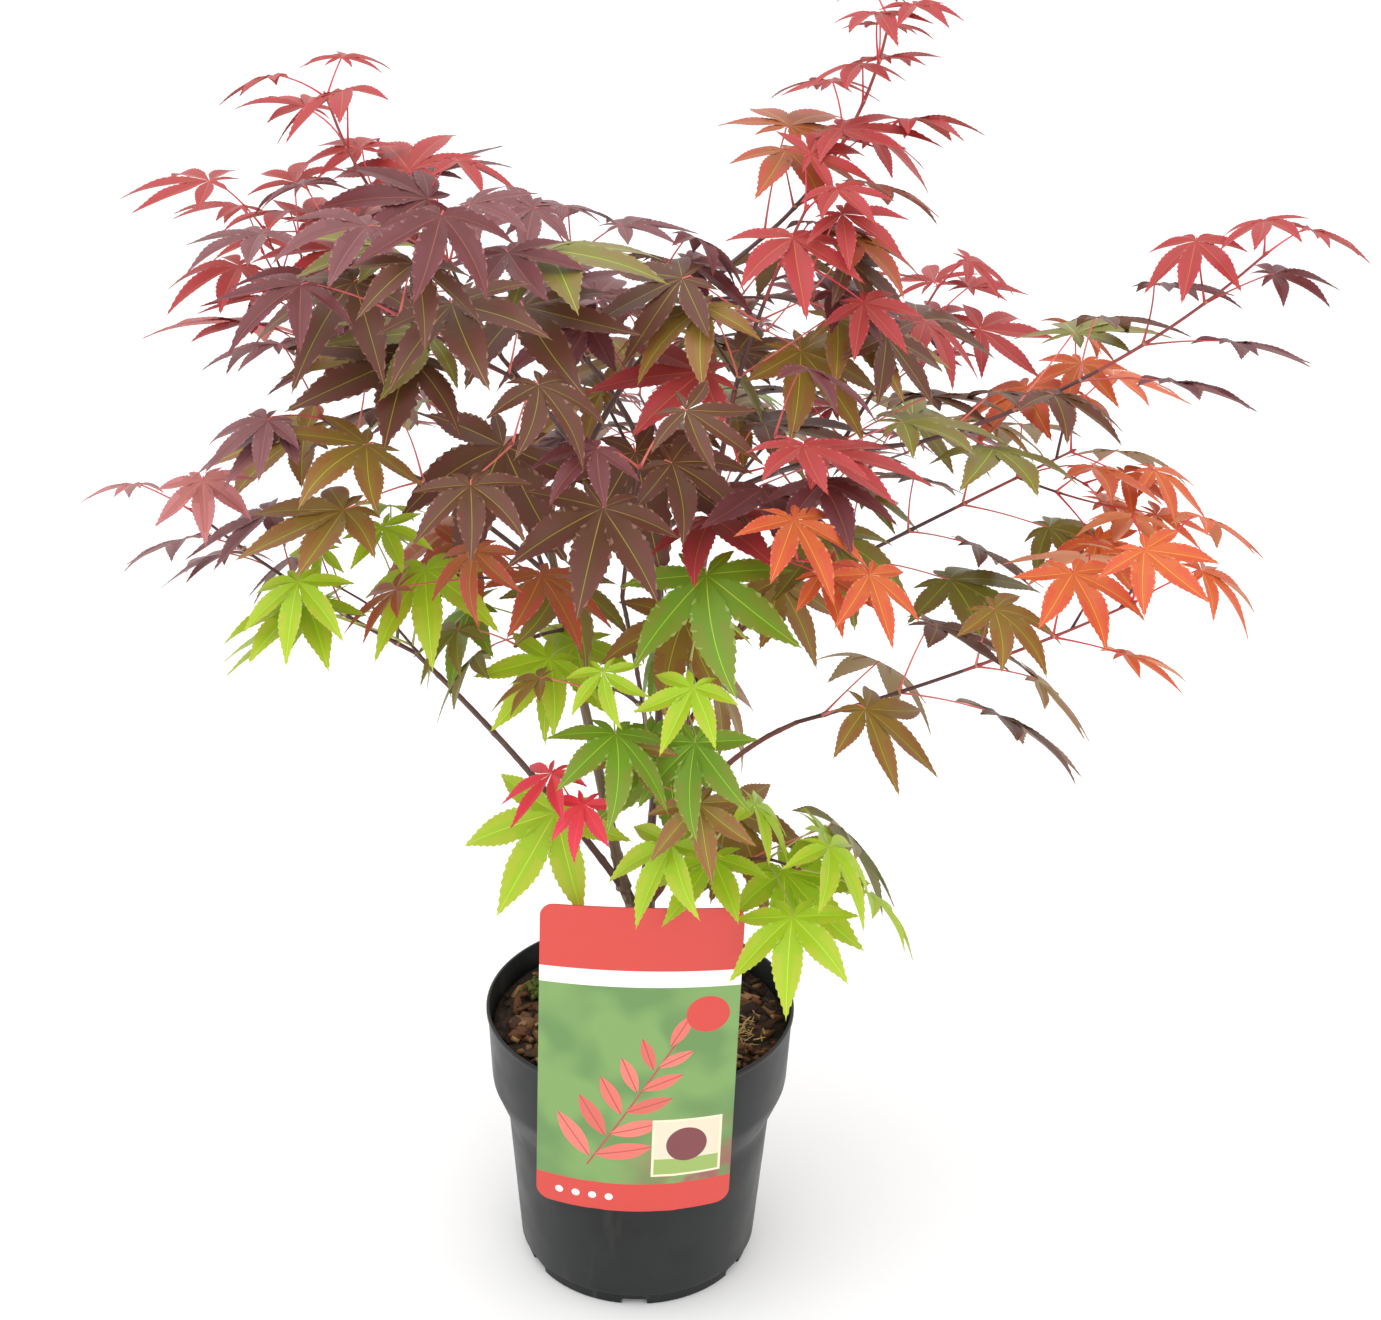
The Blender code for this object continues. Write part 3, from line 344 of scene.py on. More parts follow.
def tube(points: list[Vector], radii: list[float], sides: int) -> tuple[list[Vector], list[tuple]]:
    """Make the vertices and faces of a closed tube.

    Args:
        points: its middle line.
        radii: its radius at each point.
        sides: how many sides its section has.

    Returns:
        The vertices, ring by ring, and the faces.
    """
    verts, faces = [], []
    side = (points[1] - points[0]).orthogonal().normalized()
    last = len(points) - 1
    for i, point in enumerate(points):
        way = (points[min(i + 1, last)] - points[max(i - 1, 0)]).normalized()
        side = (side - way * side.dot(way)).normalized()
        other = way.cross(side)
        for k in range(sides):
            turn = math.tau * k / sides
            verts.append(point + (side * math.cos(turn) + other * math.sin(turn)) * radii[i])
    for i in range(last):
        for k in range(sides):
            a, b = i * sides + k, i * sides + (k + 1) % sides
            faces.append((a, b, b + sides, a + sides))
    faces.append(tuple(range(sides - 1, -1, -1)))
    faces.append(tuple(last * sides + k for k in range(sides)))
    return verts, faces


class Room:
    """What already stands, so that no twig or leaf grows through it."""

    def __init__(self) -> None:
        """Start with nothing standing."""
        self.items: list[tuple] = []

    @staticmethod
    def bounds(verts: list[Vector]) -> tuple[Vector, float]:
        """Give the middle and the reach of some points."""
        low = Vector(min(v[i] for v in verts) for i in range(3))
        high = Vector(max(v[i] for v in verts) for i in range(3))
        centre = (low + high) / 2
        return centre, max((v - centre).length for v in verts)

    def add(self, verts: list[Vector], faces: list[tuple], owner: str = "") -> None:
        """Take up the room of a shape; a twig and its stalks have their mass as owner."""
        self.items.append((owner, *self.bounds(verts), BVHTree.FromPolygons(verts, faces)))

    def free(self, verts: list[Vector], faces: list[tuple], own: str = "-") -> bool:
        """Tell if a shape meets nothing that stands, its own twig and stalks aside."""
        centre, reach = self.bounds(verts)
        tree = None
        for owner, middle, far, standing in self.items:
            if owner != own and (middle - centre).length < reach + far:
                tree = tree or BVHTree.FromPolygons(verts, faces)
                if tree.overlap(standing):
                    return False
        return True


@dataclass
class Leaf:
    """A blade on its stalk: its place, its axes and how its lobes droop and swirl."""

    stalk: tuple[Vector, Vector]
    centre: Vector
    axes: tuple[Vector, Vector, Vector]  # along the middle lobe, across it, out of the upper face
    length: float
    hang: float
    lobes: list[float]
    swirl: float
    tint: str
    young: float


def leaf_outline() -> list[tuple]:
    """List the tips, broad places and notches of the flat leaf: angle, reach and the lobes beside."""
    broad_turn, broad_reach = math.atan2(BROAD_HALF, BROAD_AT), math.hypot(BROAD_HALF, BROAD_AT)
    spots = []
    for i, (angle, reach) in enumerate(zip(LOBE_ANGLES, LOBE_LENGTHS)):
        turn = math.radians(angle)
        if i in BROAD_LOBES:
            spots.append((turn - broad_turn, broad_reach * reach, (i, i)))
        spots.append((turn, reach, (i, i)))
        if i in BROAD_LOBES:
            spots.append((turn + broad_turn, broad_reach * reach, (i, i)))
        if i < len(NOTCH_REACH):
            half = math.radians((angle + LOBE_ANGLES[i + 1]) / 2)
            spots.append((half, NOTCH_REACH[i], (i, i + 1)))
    return spots


OUTLINE = leaf_outline()


def bend(leaf: Leaf, x: float, y: float, droop: float) -> Vector:
    """Give where a point of the flat leaf lies once its lobes swirl and hang."""
    reach = math.hypot(x, y)
    turn = leaf.swirl * reach * reach
    flat_x = x * math.cos(turn) - y * math.sin(turn)
    flat_y = x * math.sin(turn) + y * math.cos(turn)
    drop = -leaf.hang * droop * reach**CURL
    middle, across, up = leaf.axes
    return leaf.centre + (middle * flat_x + across * flat_y + up * drop) * leaf.length


def blade(leaf: Leaf, thick: float, grow: float = 0.0) -> tuple[list[Vector], list[tuple]]:
    """Make a closed plain leaf: its outline, and a point above and below its middle."""
    verts = []
    for angle, reach, (i, j) in OUTLINE:
        x, y = math.cos(angle) * (reach + grow), math.sin(angle) * (reach + grow)
        verts.append(bend(leaf, x, y, (leaf.lobes[i] + leaf.lobes[j]) / 2))
    middle, across, up = leaf.axes
    foot, end = leaf.stalk
    way = (end - foot).normalized()
    side = 1 if way.dot(up) >= 0 else -1
    ridge = way.cross(across).normalized() * side
    crest = ridge if ridge.dot(up) * side >= 0 else -middle
    last = len(verts)
    back = end - middle * grow * leaf.length
    verts += [back + across * STALK_RADIUS, back + crest * STALK_RADIUS * 1.5, back - across * STALK_RADIUS]
    count = len(verts)
    verts += [leaf.centre + up * thick / 2, leaf.centre - up * thick / 2]
    ridged = list(range(count))
    plain = ridged[: last + 1] + [last + 2]
    upper, lower = (ridged, plain) if side > 0 else (plain, ridged)
    faces = [(i, j, count) for i, j in zip(upper, upper[1:] + upper[:1])]
    faces += [(j, i, count + 1) for i, j in zip(lower, lower[1:] + lower[:1])]
    ring = (last, last + 1, last + 2) if side < 0 else (last + 2, last + 1, last)
    return verts, faces + [ring]


def stray(rng: random.Random, reach: float) -> float:
    """Draw a value up to a reach to either side of nought."""
    return rng.uniform(-reach, reach)


def splayed(
    rng: random.Random, way: Vector, roll: float, splay: tuple, lift: tuple
) -> tuple[Vector, Vector]:
    """Draw a way that leaves a stem sideways and upwards.

    Args:
        rng: draws the splay and the lift.
        way: the stem's way.
        roll: how far round the stem the new way leaves it, in radians.
        splay: the range of the angle between the two, in degrees.
        lift: the range of what is added to its height.

    Returns:
        The new way, and the side of the stem that it leaves from.
    """
    side = Matrix.Rotation(roll, 3, way) @ way.orthogonal().normalized()
    angle = math.radians(rng.uniform(*splay))
    out = way * math.cos(angle) + side * math.sin(angle)
    out.z += rng.uniform(*lift)
    return out.normalized(), side


def draw_leaf(
    rng: random.Random, mass: MassSpec, point: Vector, way: Vector, roll: float, share: float
) -> Leaf:
    """Draw one leaf: its stalk leaves the twig sideways and upwards, and the blade hangs from its end."""
    young = share**1.5
    size = mass.leaf / 1000 * (1.0 - YOUNG_LOSS * young) * rng.uniform(*SIZE_RANGE)
    out, side = splayed(rng, way, math.radians(roll), SPLAY_RANGE, LIFT_RANGE)
    half = (size * rng.uniform(*STALK_RANGE) + STALK_LEAST) / 2
    end = point + (out + Vector((out.x, out.y, out.z * STALK_FLATTER)).normalized()) * half
    plan = out + way * FORWARD
    heading = math.degrees(math.atan2(plan.y, plan.x)) + stray(rng, HEADING_STRAY)
    middle = aim(heading, stray(rng, FALL_STRAY) - mass.fall)
    up = (Vector((0, 0, 1)) - middle * middle.z).normalized()
    up = Matrix.Rotation(math.radians(stray(rng, TILT_STRAY)), 3, middle) @ up
    hang = rng.uniform(*HANG_RANGE)
    lobes = [rng.uniform(*DROOP_RANGE) for _ in LOBE_ANGLES]
    swirl = stray(rng, SWIRL_STRAY)
    last = len(mass.tints) - 1
    tint = mass.tints[min(last, max(0, round(share * last + stray(rng, TINT_STRAY))))]
    centre = end + middle * SINUS_REACH * size
    foot = point - way * STALK_SINK + side * STALK_SINK / 3
    return Leaf((foot, end), centre, (middle, up.cross(middle), up), size, hang, lobes, swirl, tint, young)


def fits(leaf: Leaf, room: Room, own: str) -> bool:
    """Tell if a leaf and its stalk meet neither each other nor anything that stands."""
    foot, end = leaf.stalk
    free_from, free_to = (foot.lerp(end, share) for share in STALK_FREE)
    wide = blade(leaf, LEAF_THICK + 2 * ROOM_GAP, BLADE_MARGIN)
    root, stalk, below_blade = (
        tube(ends, [STALK_RADIUS + ROOM_GAP] * 2, STALK_SIDES)
        for ends in ([foot, foot.lerp(end, STALK_ROOT)], [free_from, end], [free_from, free_to])
    )
    if BVHTree.FromPolygons(*below_blade).overlap(BVHTree.FromPolygons(*wide)):
        return False
    return room.free(*wide) and room.free(*stalk) and room.free(*root, own)


def label_bow(x: float, z: float) -> float:
    """Give how far the label's face lies behind its middle at a place on it."""
    share = (z - LABEL_FOOT) / (LABEL_TOP - LABEL_FOOT)
    return (LABEL_BOW_FOOT + (LABEL_BOW_TOP - LABEL_BOW_FOOT) * share) * (2 * x / LABEL_WIDTH) ** 2


def label_front() -> float:
    """Give the Y of the middle of the label's front face."""
    return -(RIM_RADIUS + 2 * GAP + LABEL_THICK)


@dataclass
class Spray:
    """A grown mass: its spec, the path of its twig, the shares where its pairs stand, and its leaves."""

    spec: MassSpec
    path: list[Vector]
    nodes: list[float]
    leaves: list[Leaf]


class Growth:
    """Grows the limbs, and on them the twigs and leaves, each leaf where it finds room."""

    def __init__(self) -> None:
        """Lay out the limbs and grow every mass and its finer shoots."""
        self.limbs: dict[str, LimbSpec] = {TRUNK.name: TRUNK}
        self.paths: dict[str, list[Vector]] = {
            TRUNK.name: arc(Vector((TRUNK_X, 0, SOIL_LEVEL + GAP)), TRUNK, LIMB_STEP)
        }
        for limb in LIMBS:
            point, way = along(self.paths[limb.parent], limb.at)
            if limb.at >= 1.0:
                point = point + way * GAP
            self.limbs[limb.name] = limb
            self.paths[limb.name] = arc(point, limb, LIMB_STEP)
        self.room = self.fill_room()
        self.sprays = self.grow_masses()
        self.sprays += self.grow_shoots()

    def limb_radii(self, name: str) -> list[float]:
        """List a limb's radius at each of its points."""
        count = len(self.paths[name])
        return [radius_at(self.limbs[name], i / (count - 1)) for i in range(count)]

    def fill_room(self) -> Room:
        """Take up the room of the limbs, the pot and the label."""
        room = Room()
        for name, points in self.paths.items():
            room.add(*tube(points, self.limb_radii(name), LIMB_SIDES))
        middle = [Vector((0, 0, 0)), Vector((0, 0, SOIL_LEVEL)), Vector((0, 0, POT_HEIGHT))]
        room.add(*tube(middle, [FOOT_RADIUS, RIM_RADIUS, RIM_RADIUS + ROOM_GAP], POT_SIDES))
        ring = []
        for z in (LABEL_FOOT, LABEL_TOP):
            for x, back in ((-1, 0), (-1, 1), (0, 1), (1, 1), (1, 0), (0, 0)):
                across = x * LABEL_WIDTH / 2
                y = label_front() + label_bow(across, z) + back * 2 * LABEL_THICK
                ring.append(Vector((across + (z - POT_HEIGHT) * LABEL_LEAN, y, z)))
        faces = [(i, (i + 1) % 6, (i + 1) % 6 + 6, i + 6) for i in range(6)]
        room.add(ring, faces + [(5, 4, 3, 2, 1, 0), (6, 7, 8, 9, 10, 11)])
        return room

    def twig_start(self, mass: MassSpec) -> Vector:
        """Give where a twig begins, a gap clear of its limb's tip or side."""
        point, way = along(self.paths[mass.parent], mass.at)
        out = aim(mass.heading, mass.rise)
        cosine = min(1.0, abs(out.dot(way)))
        sine = max(LEAST_SINE, math.sqrt(max(0.0, 1 - cosine * cosine)))
        if mass.at >= 1.0:
            return point + way * (GAP * 1.7 + TWIG_RADIUS * sine)
        clear = radius_at(self.limbs[mass.parent], mass.at) + GAP + TWIG_RADIUS * cosine
        return point + out * (clear / sine + GAP / 2)

    def grow_pair(self, mass: MassSpec, path: list[Vector], seed: int, share: float) -> list[Leaf]:
        """Grow a pair of leaves on opposite sides of a twig; one that finds no room is left out."""
        rng = random.Random(seed)
        point, way = along(path, share)
        roll = rng.uniform(0, 180)
        leaves = []
        for flip in (0, 180):
            for _ in range(TRIES):
                leaf = draw_leaf(rng, mass, point, way, roll + flip + stray(rng, ROLL_STRAY), share)
                if fits(leaf, self.room, mass.name):
                    leaves.append(leaf)
                    self.room.add(*blade(leaf, LEAF_THICK))
                    self.room.add(*tube(leaf.stalk, [STALK_RADIUS] * 2, STALK_SIDES), mass.name)
                    break
        return leaves

    def grow_masses(self) -> list[Spray]:
        """Grow every mass; all twigs take their room before the first leaf opens."""
        twigs = {mass.name: arc(self.twig_start(mass), mass, TWIG_STEP) for mass in MASSES}
        for name, path in twigs.items():
            self.room.add(*tube(path, [TWIG_RADIUS] * len(path), STALK_SIDES), name)
        sprays = []
        for mass in MASSES:
            path, last = twigs[mass.name], len(mass.seeds) - 1
            nodes = [FIRST_PAIR + (1 - FIRST_PAIR) * pair / last for pair in range(len(mass.seeds))]
            leaves = []
            for seed, share in zip(mass.seeds, nodes):
                leaves += self.grow_pair(mass, path, seed, share)
            sprays.append(Spray(mass, path, nodes, leaves))
        return sprays

    def draw_shoot(self, parent: Spray, seed: int) -> tuple[MassSpec, list[Vector], list[float]]:
        """Draw a finer side shoot at a twig's node: its spec, its path and where its pairs stand."""
        rng = random.Random(seed)
        mass = parent.spec
        node = rng.randrange(len(parent.nodes))
        share = parent.nodes[node] * rng.uniform(*SHOOT_PLACE)
        point, way = along(parent.path, share)
        out, _ = splayed(rng, way, rng.uniform(0, math.tau), SHOOT_SPLAY, SHOOT_LIFT)
        nodes = rng.choice(SHOOT_NODES)
        last = len(mass.tints) - 1
        at = min(last, round(share * last))
        spec = replace(
            mass,
            name=f"{mass.name}_shoot_{seed}",
            parent=mass.name,
            at=share,
            heading=math.degrees(math.atan2(out.y, out.x)),
            rise=math.degrees(math.asin(out.z)),
            length=rng.uniform(*SHOOT_LENGTH) + SHOOT_MORE * (len(nodes) - 1),
            veer=0,
            lift=stray(rng, SHOOT_BEND),
            leaf=mass.leaf * rng.uniform(*SHOOT_LEAF),
            tints=(mass.tints[at], mass.tints[min(last, at + 1)]),
            seeds=tuple(rng.randrange(SHOOT_SEEDS) for _ in nodes),
        )
        return spec, arc(point, spec, TWIG_STEP / 2), nodes

    def grow_shoot(self, parent: Spray, seed: int) -> Spray | None:
        """Grow a drawn shoot and those of its leaves within the crown; nothing if it finds no room."""
        spec, path, nodes = self.draw_shoot(parent, seed)
        stem = tube(path, [TWIG_RADIUS * SHOOT_THIN] * len(path), STALK_SIDES)
        if not self.room.free(*stem, parent.spec.name):
            return None
        self.room.add(*stem, parent.spec.name)
        leaves = []
        for pair_seed, share in zip(spec.seeds, nodes):
            leaves += self.grow_pair(replace(spec, name=parent.spec.name), path, pair_seed, share)
        low, high = self.reach
        leaves = [leaf for leaf in leaves if all(
            low[i] < spot[i] < high[i] for spot in blade(leaf, LEAF_THICK)[0] for i in range(3)
        )]
        return Spray(spec, path, nodes, leaves)

    def grow_shoots(self) -> list[Spray]:
        """Carry every mass on with its shoots, once all its pairs of leaves stand."""
        leaves = [leaf for spray in self.sprays for leaf in spray.leaves]
        spots = [spot for leaf in leaves for spot in blade(leaf, LEAF_THICK)[0]]
        self.reach = [Vector(pick(spot[i] for spot in spots) for i in range(3)) for pick in (min, max)]
        shoots = []
        parents = {spray.spec.name: spray for spray in self.sprays}
        for name, seed in SHOOTS:
            shoot = self.grow_shoot(parents[name], seed)
            if shoot and shoot.leaves:
                shoots.append(shoot)
        return shoots


@dataclass(frozen=True)
class LeafColours:
    """The plain colours of a tint of leaf: its margin, the part by its ribs, its ribs and its underside."""

    margin: tuple[int, int, int]
    heart: tuple[int, int, int]
    rib: tuple[int, int, int]
    under: tuple[int, int, int]


LEAF_COLOURS = {
    Tint.MAROON: LeafColours((108, 49, 53), (102, 46, 47), (158, 84, 68), (138, 90, 92)),
    Tint.PURPLE: LeafColours((128, 76, 80), (120, 70, 72), (168, 102, 90), (154, 114, 116)),
    Tint.DUSKY: LeafColours((184, 110, 110), (170, 97, 92), (202, 122, 106), (184, 130, 128)),
    Tint.BROWN: LeafColours((102, 56, 43), (98, 61, 38), (166, 148, 54), (140, 104, 86)),
    Tint.BRONZE: LeafColours((146, 101, 51), (144, 114, 46), (192, 186, 62), (156, 130, 92)),
    Tint.OLIVE: LeafColours((130, 112, 54), (126, 122, 46), (182, 196, 62), (150, 144, 98)),
    Tint.GREEN: LeafColours((122, 142, 38), (110, 149, 28), (182, 210, 58), (154, 172, 88)),
    Tint.LIME: LeafColours((174, 193, 44), (160, 196, 30), (212, 224, 80), (186, 200, 86)),
    Tint.ORANGE: LeafColours((206, 86, 52), (205, 98, 48), (238, 172, 62), (212, 134, 90)),
    Tint.RUST: LeafColours((176, 78, 54), (162, 90, 44), (218, 142, 58), (184, 112, 88)),
    Tint.RED: LeafColours((172, 54, 58), (165, 57, 53), (210, 106, 70), (188, 92, 84)),
    Tint.CRIMSON: LeafColours((224, 56, 78), (230, 58, 72), (242, 102, 98), (224, 94, 106)),
}


@dataclass(frozen=True)
class PlainFinish:
    """A finish of one colour, for small joined things whose colours are dealt out piece by piece."""

    name: str
    colour: tuple[int, int, int]
    roughness: float = 0.5
    specular: float = 0.5

    def material(self) -> bpy.types.Material:
        """Make the material, or give the one that is made already."""
        made = bpy.data.materials.get(self.name)
        if made:
            return made
        made = bpy.data.materials.new(self.name)
        made.use_nodes = True
        shader = made.node_tree.nodes["Principled BSDF"]
        shader.inputs["Base Color"].default_value = linear(*self.colour)
        shader.inputs["Roughness"].default_value = self.roughness
        shader.inputs["Specular IOR Level"].default_value = self.specular
        return made


class NodeSheet:
    """A node tree with short calls to add nodes and join sockets."""

    def __init__(self, tree: bpy.types.NodeTree) -> None:
        """Work on a tree."""
        self.tree = tree

    def add(self, kind: str, **inputs: object) -> bpy.types.Node:
        """Add a node and set or link its inputs.

        Args:
            kind: the node's type name.
            inputs: values or sockets by input name, with _ for a space.

        Returns:
            The node.
        """
        node = self.tree.nodes.new(kind)
        for name, value in inputs.items():
            self.put(node.inputs[name.replace("_", " ")], value)
        return node

    def put(self, socket: bpy.types.NodeSocket, value: object) -> None:
        """Link a socket to an input, or set the input's value."""
        if isinstance(value, bpy.types.NodeSocket):
            self.tree.links.new(value, socket)
        else:
            socket.default_value = value

    def math(self, operation: str, *values: object, clamp: bool = False) -> bpy.types.NodeSocket:
        """Add a math node and give its result."""
        node = self.tree.nodes.new("ShaderNodeMath")
        node.operation = operation
        node.use_clamp = clamp
        for socket, value in zip(node.inputs, values):
            self.put(socket, value)
        return node.outputs[0]

    def plus(self, first: object, second: object) -> bpy.types.NodeSocket:
        """Add two values."""
        return self.math("ADD", first, second)

    def minus(self, first: object, second: object) -> bpy.types.NodeSocket:
        """Take the second value from the first."""
        return self.math("SUBTRACT", first, second)

    def times(self, first: object, second: object) -> bpy.types.NodeSocket:
        """Multiply two values."""
        return self.math("MULTIPLY", first, second)

    def below(self, value: object, limit: object) -> bpy.types.NodeSocket:
        """Give 1 where a value is below a limit, and 0 elsewhere."""
        return self.math("LESS_THAN", value, limit)

    def above(self, value: object, limit: object) -> bpy.types.NodeSocket:
        """Give 1 where a value is above a limit, and 0 elsewhere."""
        return self.math("GREATER_THAN", value, limit)

    def noise(self, place: object, **inputs: object) -> bpy.types.NodeSocket:
        """Give a noise at a place."""
        return self.add("ShaderNodeTexNoise", Vector=place, **inputs).outputs["Fac"]

    def stretched(self, place: object, scale: tuple[float, float, float]) -> bpy.types.NodeSocket:
        """Stretch a place by its axes."""
        return self.add("ShaderNodeMapping", Vector=place, Scale=scale).outputs[0]

    def bump(self, shader: bpy.types.Node, height: object, strength: float, distance: float) -> None:
        """Give a shader the relief of a height."""
        node = self.add("ShaderNodeBump", Strength=strength, Distance=distance, Height=height)
        self.put(shader.inputs["Normal"], node.outputs["Normal"])

    def mix(self, share: object, first: object, second: object) -> bpy.types.NodeSocket:
        """Mix two colours by a share and give the result."""
        node = self.tree.nodes.new("ShaderNodeMix")
        node.data_type = "RGBA"
        self.put(node.inputs["Factor"], share)
        self.put(node.inputs["A"], first)
        self.put(node.inputs["B"], second)
        return node.outputs["Result"]

    def ramp(self, value: object, low: float, high: float) -> bpy.types.NodeSocket:
        """Stretch a value so that low gives 0 and high gives 1, smoothly."""
        node = self.add("ShaderNodeMapRange", Value=value, From_Min=low, From_Max=high)
        node.interpolation_type = "SMOOTHSTEP"
        return node.outputs["Result"]


def start_group(name: str, ins: dict[str, str], outs: dict[str, str]) -> tuple[NodeSheet, dict, dict]:
    """Start a shader node group.

    Args:
        name: the group's name.
        ins: socket type by name of each input.
        outs: socket type by name of each output.

    Returns:
        The sheet of its tree, its inputs' sockets and its outputs' sockets, by name.
    """
    tree = bpy.data.node_groups.new(name, "ShaderNodeTree")
    for socket_name, kind in ins.items():
        tree.interface.new_socket(name=socket_name, in_out="INPUT", socket_type=kind)
    for socket_name, kind in outs.items():
        tree.interface.new_socket(name=socket_name, in_out="OUTPUT", socket_type=kind)
    entry, leave = tree.nodes.new("NodeGroupInput"), tree.nodes.new("NodeGroupOutput")
    sheet = NodeSheet(tree)
    return sheet, {n: entry.outputs[n] for n in ins}, {n: leave.inputs[n] for n in outs}


MOTTLE_RANGE = (0.3, 0.7)  # the stretch of the broad noise that the mottle shows


def grain_group() -> bpy.types.NodeTree:
    """Give the group of a fine, even surface grain: a height, and a mottle of broad patches."""
    made = bpy.data.node_groups.get("surface_grain")
    if made:
        return made
    floats = "NodeSocketFloat"
    sheet, ins, outs = start_group(
        "surface_grain",
        {"Vector": "NodeSocketVector", "Grain Scale": floats, "Patch Scale": floats, "Roughness": floats},
        {"Height": floats, "Mottle": floats},
    )
    fine = sheet.noise(ins["Vector"], Scale=ins["Grain Scale"], Roughness=ins["Roughness"])
    broad = sheet.noise(ins["Vector"], Scale=ins["Patch Scale"])
    sheet.put(outs["Height"], fine)
    sheet.put(outs["Mottle"], sheet.ramp(broad, *MOTTLE_RANGE))
    return sheet.tree


def place_group(sheet: NodeSheet, tree: bpy.types.NodeTree, **inputs: object) -> bpy.types.Node:
    """Place a group in a material with its own values."""
    node = sheet.tree.nodes.new("ShaderNodeGroup")
    node.node_tree = tree
    for name, value in inputs.items():
        sheet.put(node.inputs[name.replace("_", " ")], value)
    return node


def new_material(name: str) -> tuple[bpy.types.Material, NodeSheet, bpy.types.Node]:
    """Make a material and give it with its sheet and its Principled shader."""
    material = bpy.data.materials.new(name)
    material.use_nodes = True
    return material, NodeSheet(material.node_tree), material.node_tree.nodes["Principled BSDF"]


@dataclass(frozen=True)
class MouldedPlastic:
    """Near-black moulded plastic: a fine matt grain, dull patches and dust that has settled low down."""

    base: tuple[int, int, int] = (23, 25, 25)
    dull: tuple[int, int, int] = (35, 37, 38)
    dust: tuple[int, int, int] = (84, 83, 78)
    dust_streaks: tuple[float, float, float] = (1.0, 1.0, 0.16)
    dust_fineness: float = 110.0
    dust_range: tuple[float, float] = (0.56, 0.78)
    dust_height: float = 0.03  # below this, more dust has settled
    dust_share: float = 0.16
    dust_low_share: float = 0.5
    roughness: float = 0.36
    dull_roughness: float = 0.12
    dust_roughness: float = 0.3
    specular: float = 0.27

    def material(self) -> bpy.types.Material:
        """Make the pot's material."""
        made, sheet, shader = new_material("moulded_plastic")
        place = sheet.add("ShaderNodeTexCoord").outputs["Object"]
        grain = place_group(
            sheet, grain_group(), Vector=place, Grain_Scale=1500.0, Patch_Scale=34.0, Roughness=0.6
        )
        mottle = grain.outputs["Mottle"]
        drawn_out = sheet.stretched(place, self.dust_streaks)
        streaks = sheet.noise(drawn_out, Scale=self.dust_fineness, Detail=4.0)
        height = sheet.add("ShaderNodeSeparateXYZ", Vector=place).outputs["Z"]
        low = sheet.minus(1.0, sheet.ramp(height, 0.0, self.dust_height))
        settled = sheet.plus(self.dust_share, sheet.times(low, self.dust_low_share))
        dusty = sheet.times(sheet.ramp(streaks, *self.dust_range), settled)
        tone = sheet.mix(mottle, linear(*self.base), linear(*self.dull))
        sheet.put(shader.inputs["Base Color"], sheet.mix(dusty, tone, linear(*self.dust)))
        rough = sheet.plus(self.roughness, sheet.times(mottle, self.dull_roughness))
        sheet.put(shader.inputs["Roughness"], sheet.plus(rough, sheet.times(dusty, self.dust_roughness)))
        shader.inputs["Specular IOR Level"].default_value = self.specular
        sheet.bump(shader, grain.outputs["Height"], strength=0.16, distance=0.0004)
        return made


@dataclass(frozen=True)
class BarkFinish:
    """Young bark: a ground colour, long streaks, and small pale pores; the UV map runs along the stem."""

    kind: Bark
    ground: tuple[int, int, int]
    streak: tuple[int, int, int]
    pore: tuple[int, int, int]
    streaked: float
    streak_scale: tuple[float, float, float] = (9.0, 26.0, 1.0)
    streak_range: tuple[float, float] = (0.45, 0.62)
    pore_scale: tuple[float, float, float] = (5.0, 150.0, 1.0)
    pore_range: tuple[float, float] = (0.10, 0.24)
    pore_share: float = 0.55
    pore_relief: float = 0.8
    dark: float = 0.62  # the dark patches' colour as a share of the ground's
    dark_share: float = 0.35
    roughness: float = 0.5

    def material(self) -> bpy.types.Material:
        """Make the bark's material."""
        made, sheet, shader = new_material(f"bark_{self.kind.value}")
        uv = sheet.add("ShaderNodeUVMap").outputs["UV"]
        place = sheet.add("ShaderNodeTexCoord").outputs["Object"]
        grain = place_group(
            sheet, grain_group(), Vector=place, Grain_Scale=900.0, Patch_Scale=60.0, Roughness=0.65
        )
        lines = sheet.noise(sheet.stretched(uv, self.streak_scale), Scale=1.0, Detail=5.0)
        spots = sheet.stretched(uv, self.pore_scale)
        pores = sheet.add("ShaderNodeTexVoronoi", Vector=spots, Scale=1.0, Randomness=1.0)
        pore = sheet.minus(1.0, sheet.ramp(pores.outputs["Distance"], *self.pore_range))
        streak = sheet.times(sheet.ramp(lines, *self.streak_range), self.streaked)
        tone = sheet.mix(streak, linear(*self.ground), linear(*self.streak))
        shade = sheet.times(grain.outputs["Mottle"], self.dark_share)
        dark = tuple(int(c * self.dark) for c in self.ground)
        tone = sheet.mix(shade, tone, linear(*dark))
        pale = sheet.times(pore, self.pore_share)
        sheet.put(shader.inputs["Base Color"], sheet.mix(pale, tone, linear(*self.pore)))
        shader.inputs["Roughness"].default_value = self.roughness
        relief = sheet.plus(grain.outputs["Height"], sheet.times(pore, self.pore_relief))
        sheet.bump(shader, relief, strength=0.35, distance=0.0005)
        return made


BARKS = {
    Bark.STRIPED: BarkFinish(Bark.STRIPED, (110, 84, 70), (154, 142, 110), (184, 170, 146), 0.9),
    Bark.DARK: BarkFinish(Bark.DARK, (96, 63, 62), (128, 104, 84), (174, 146, 124), 0.55),
    Bark.RED_BROWN: BarkFinish(Bark.RED_BROWN, (124, 70, 66), (154, 92, 80), (190, 150, 130), 0.5),
}


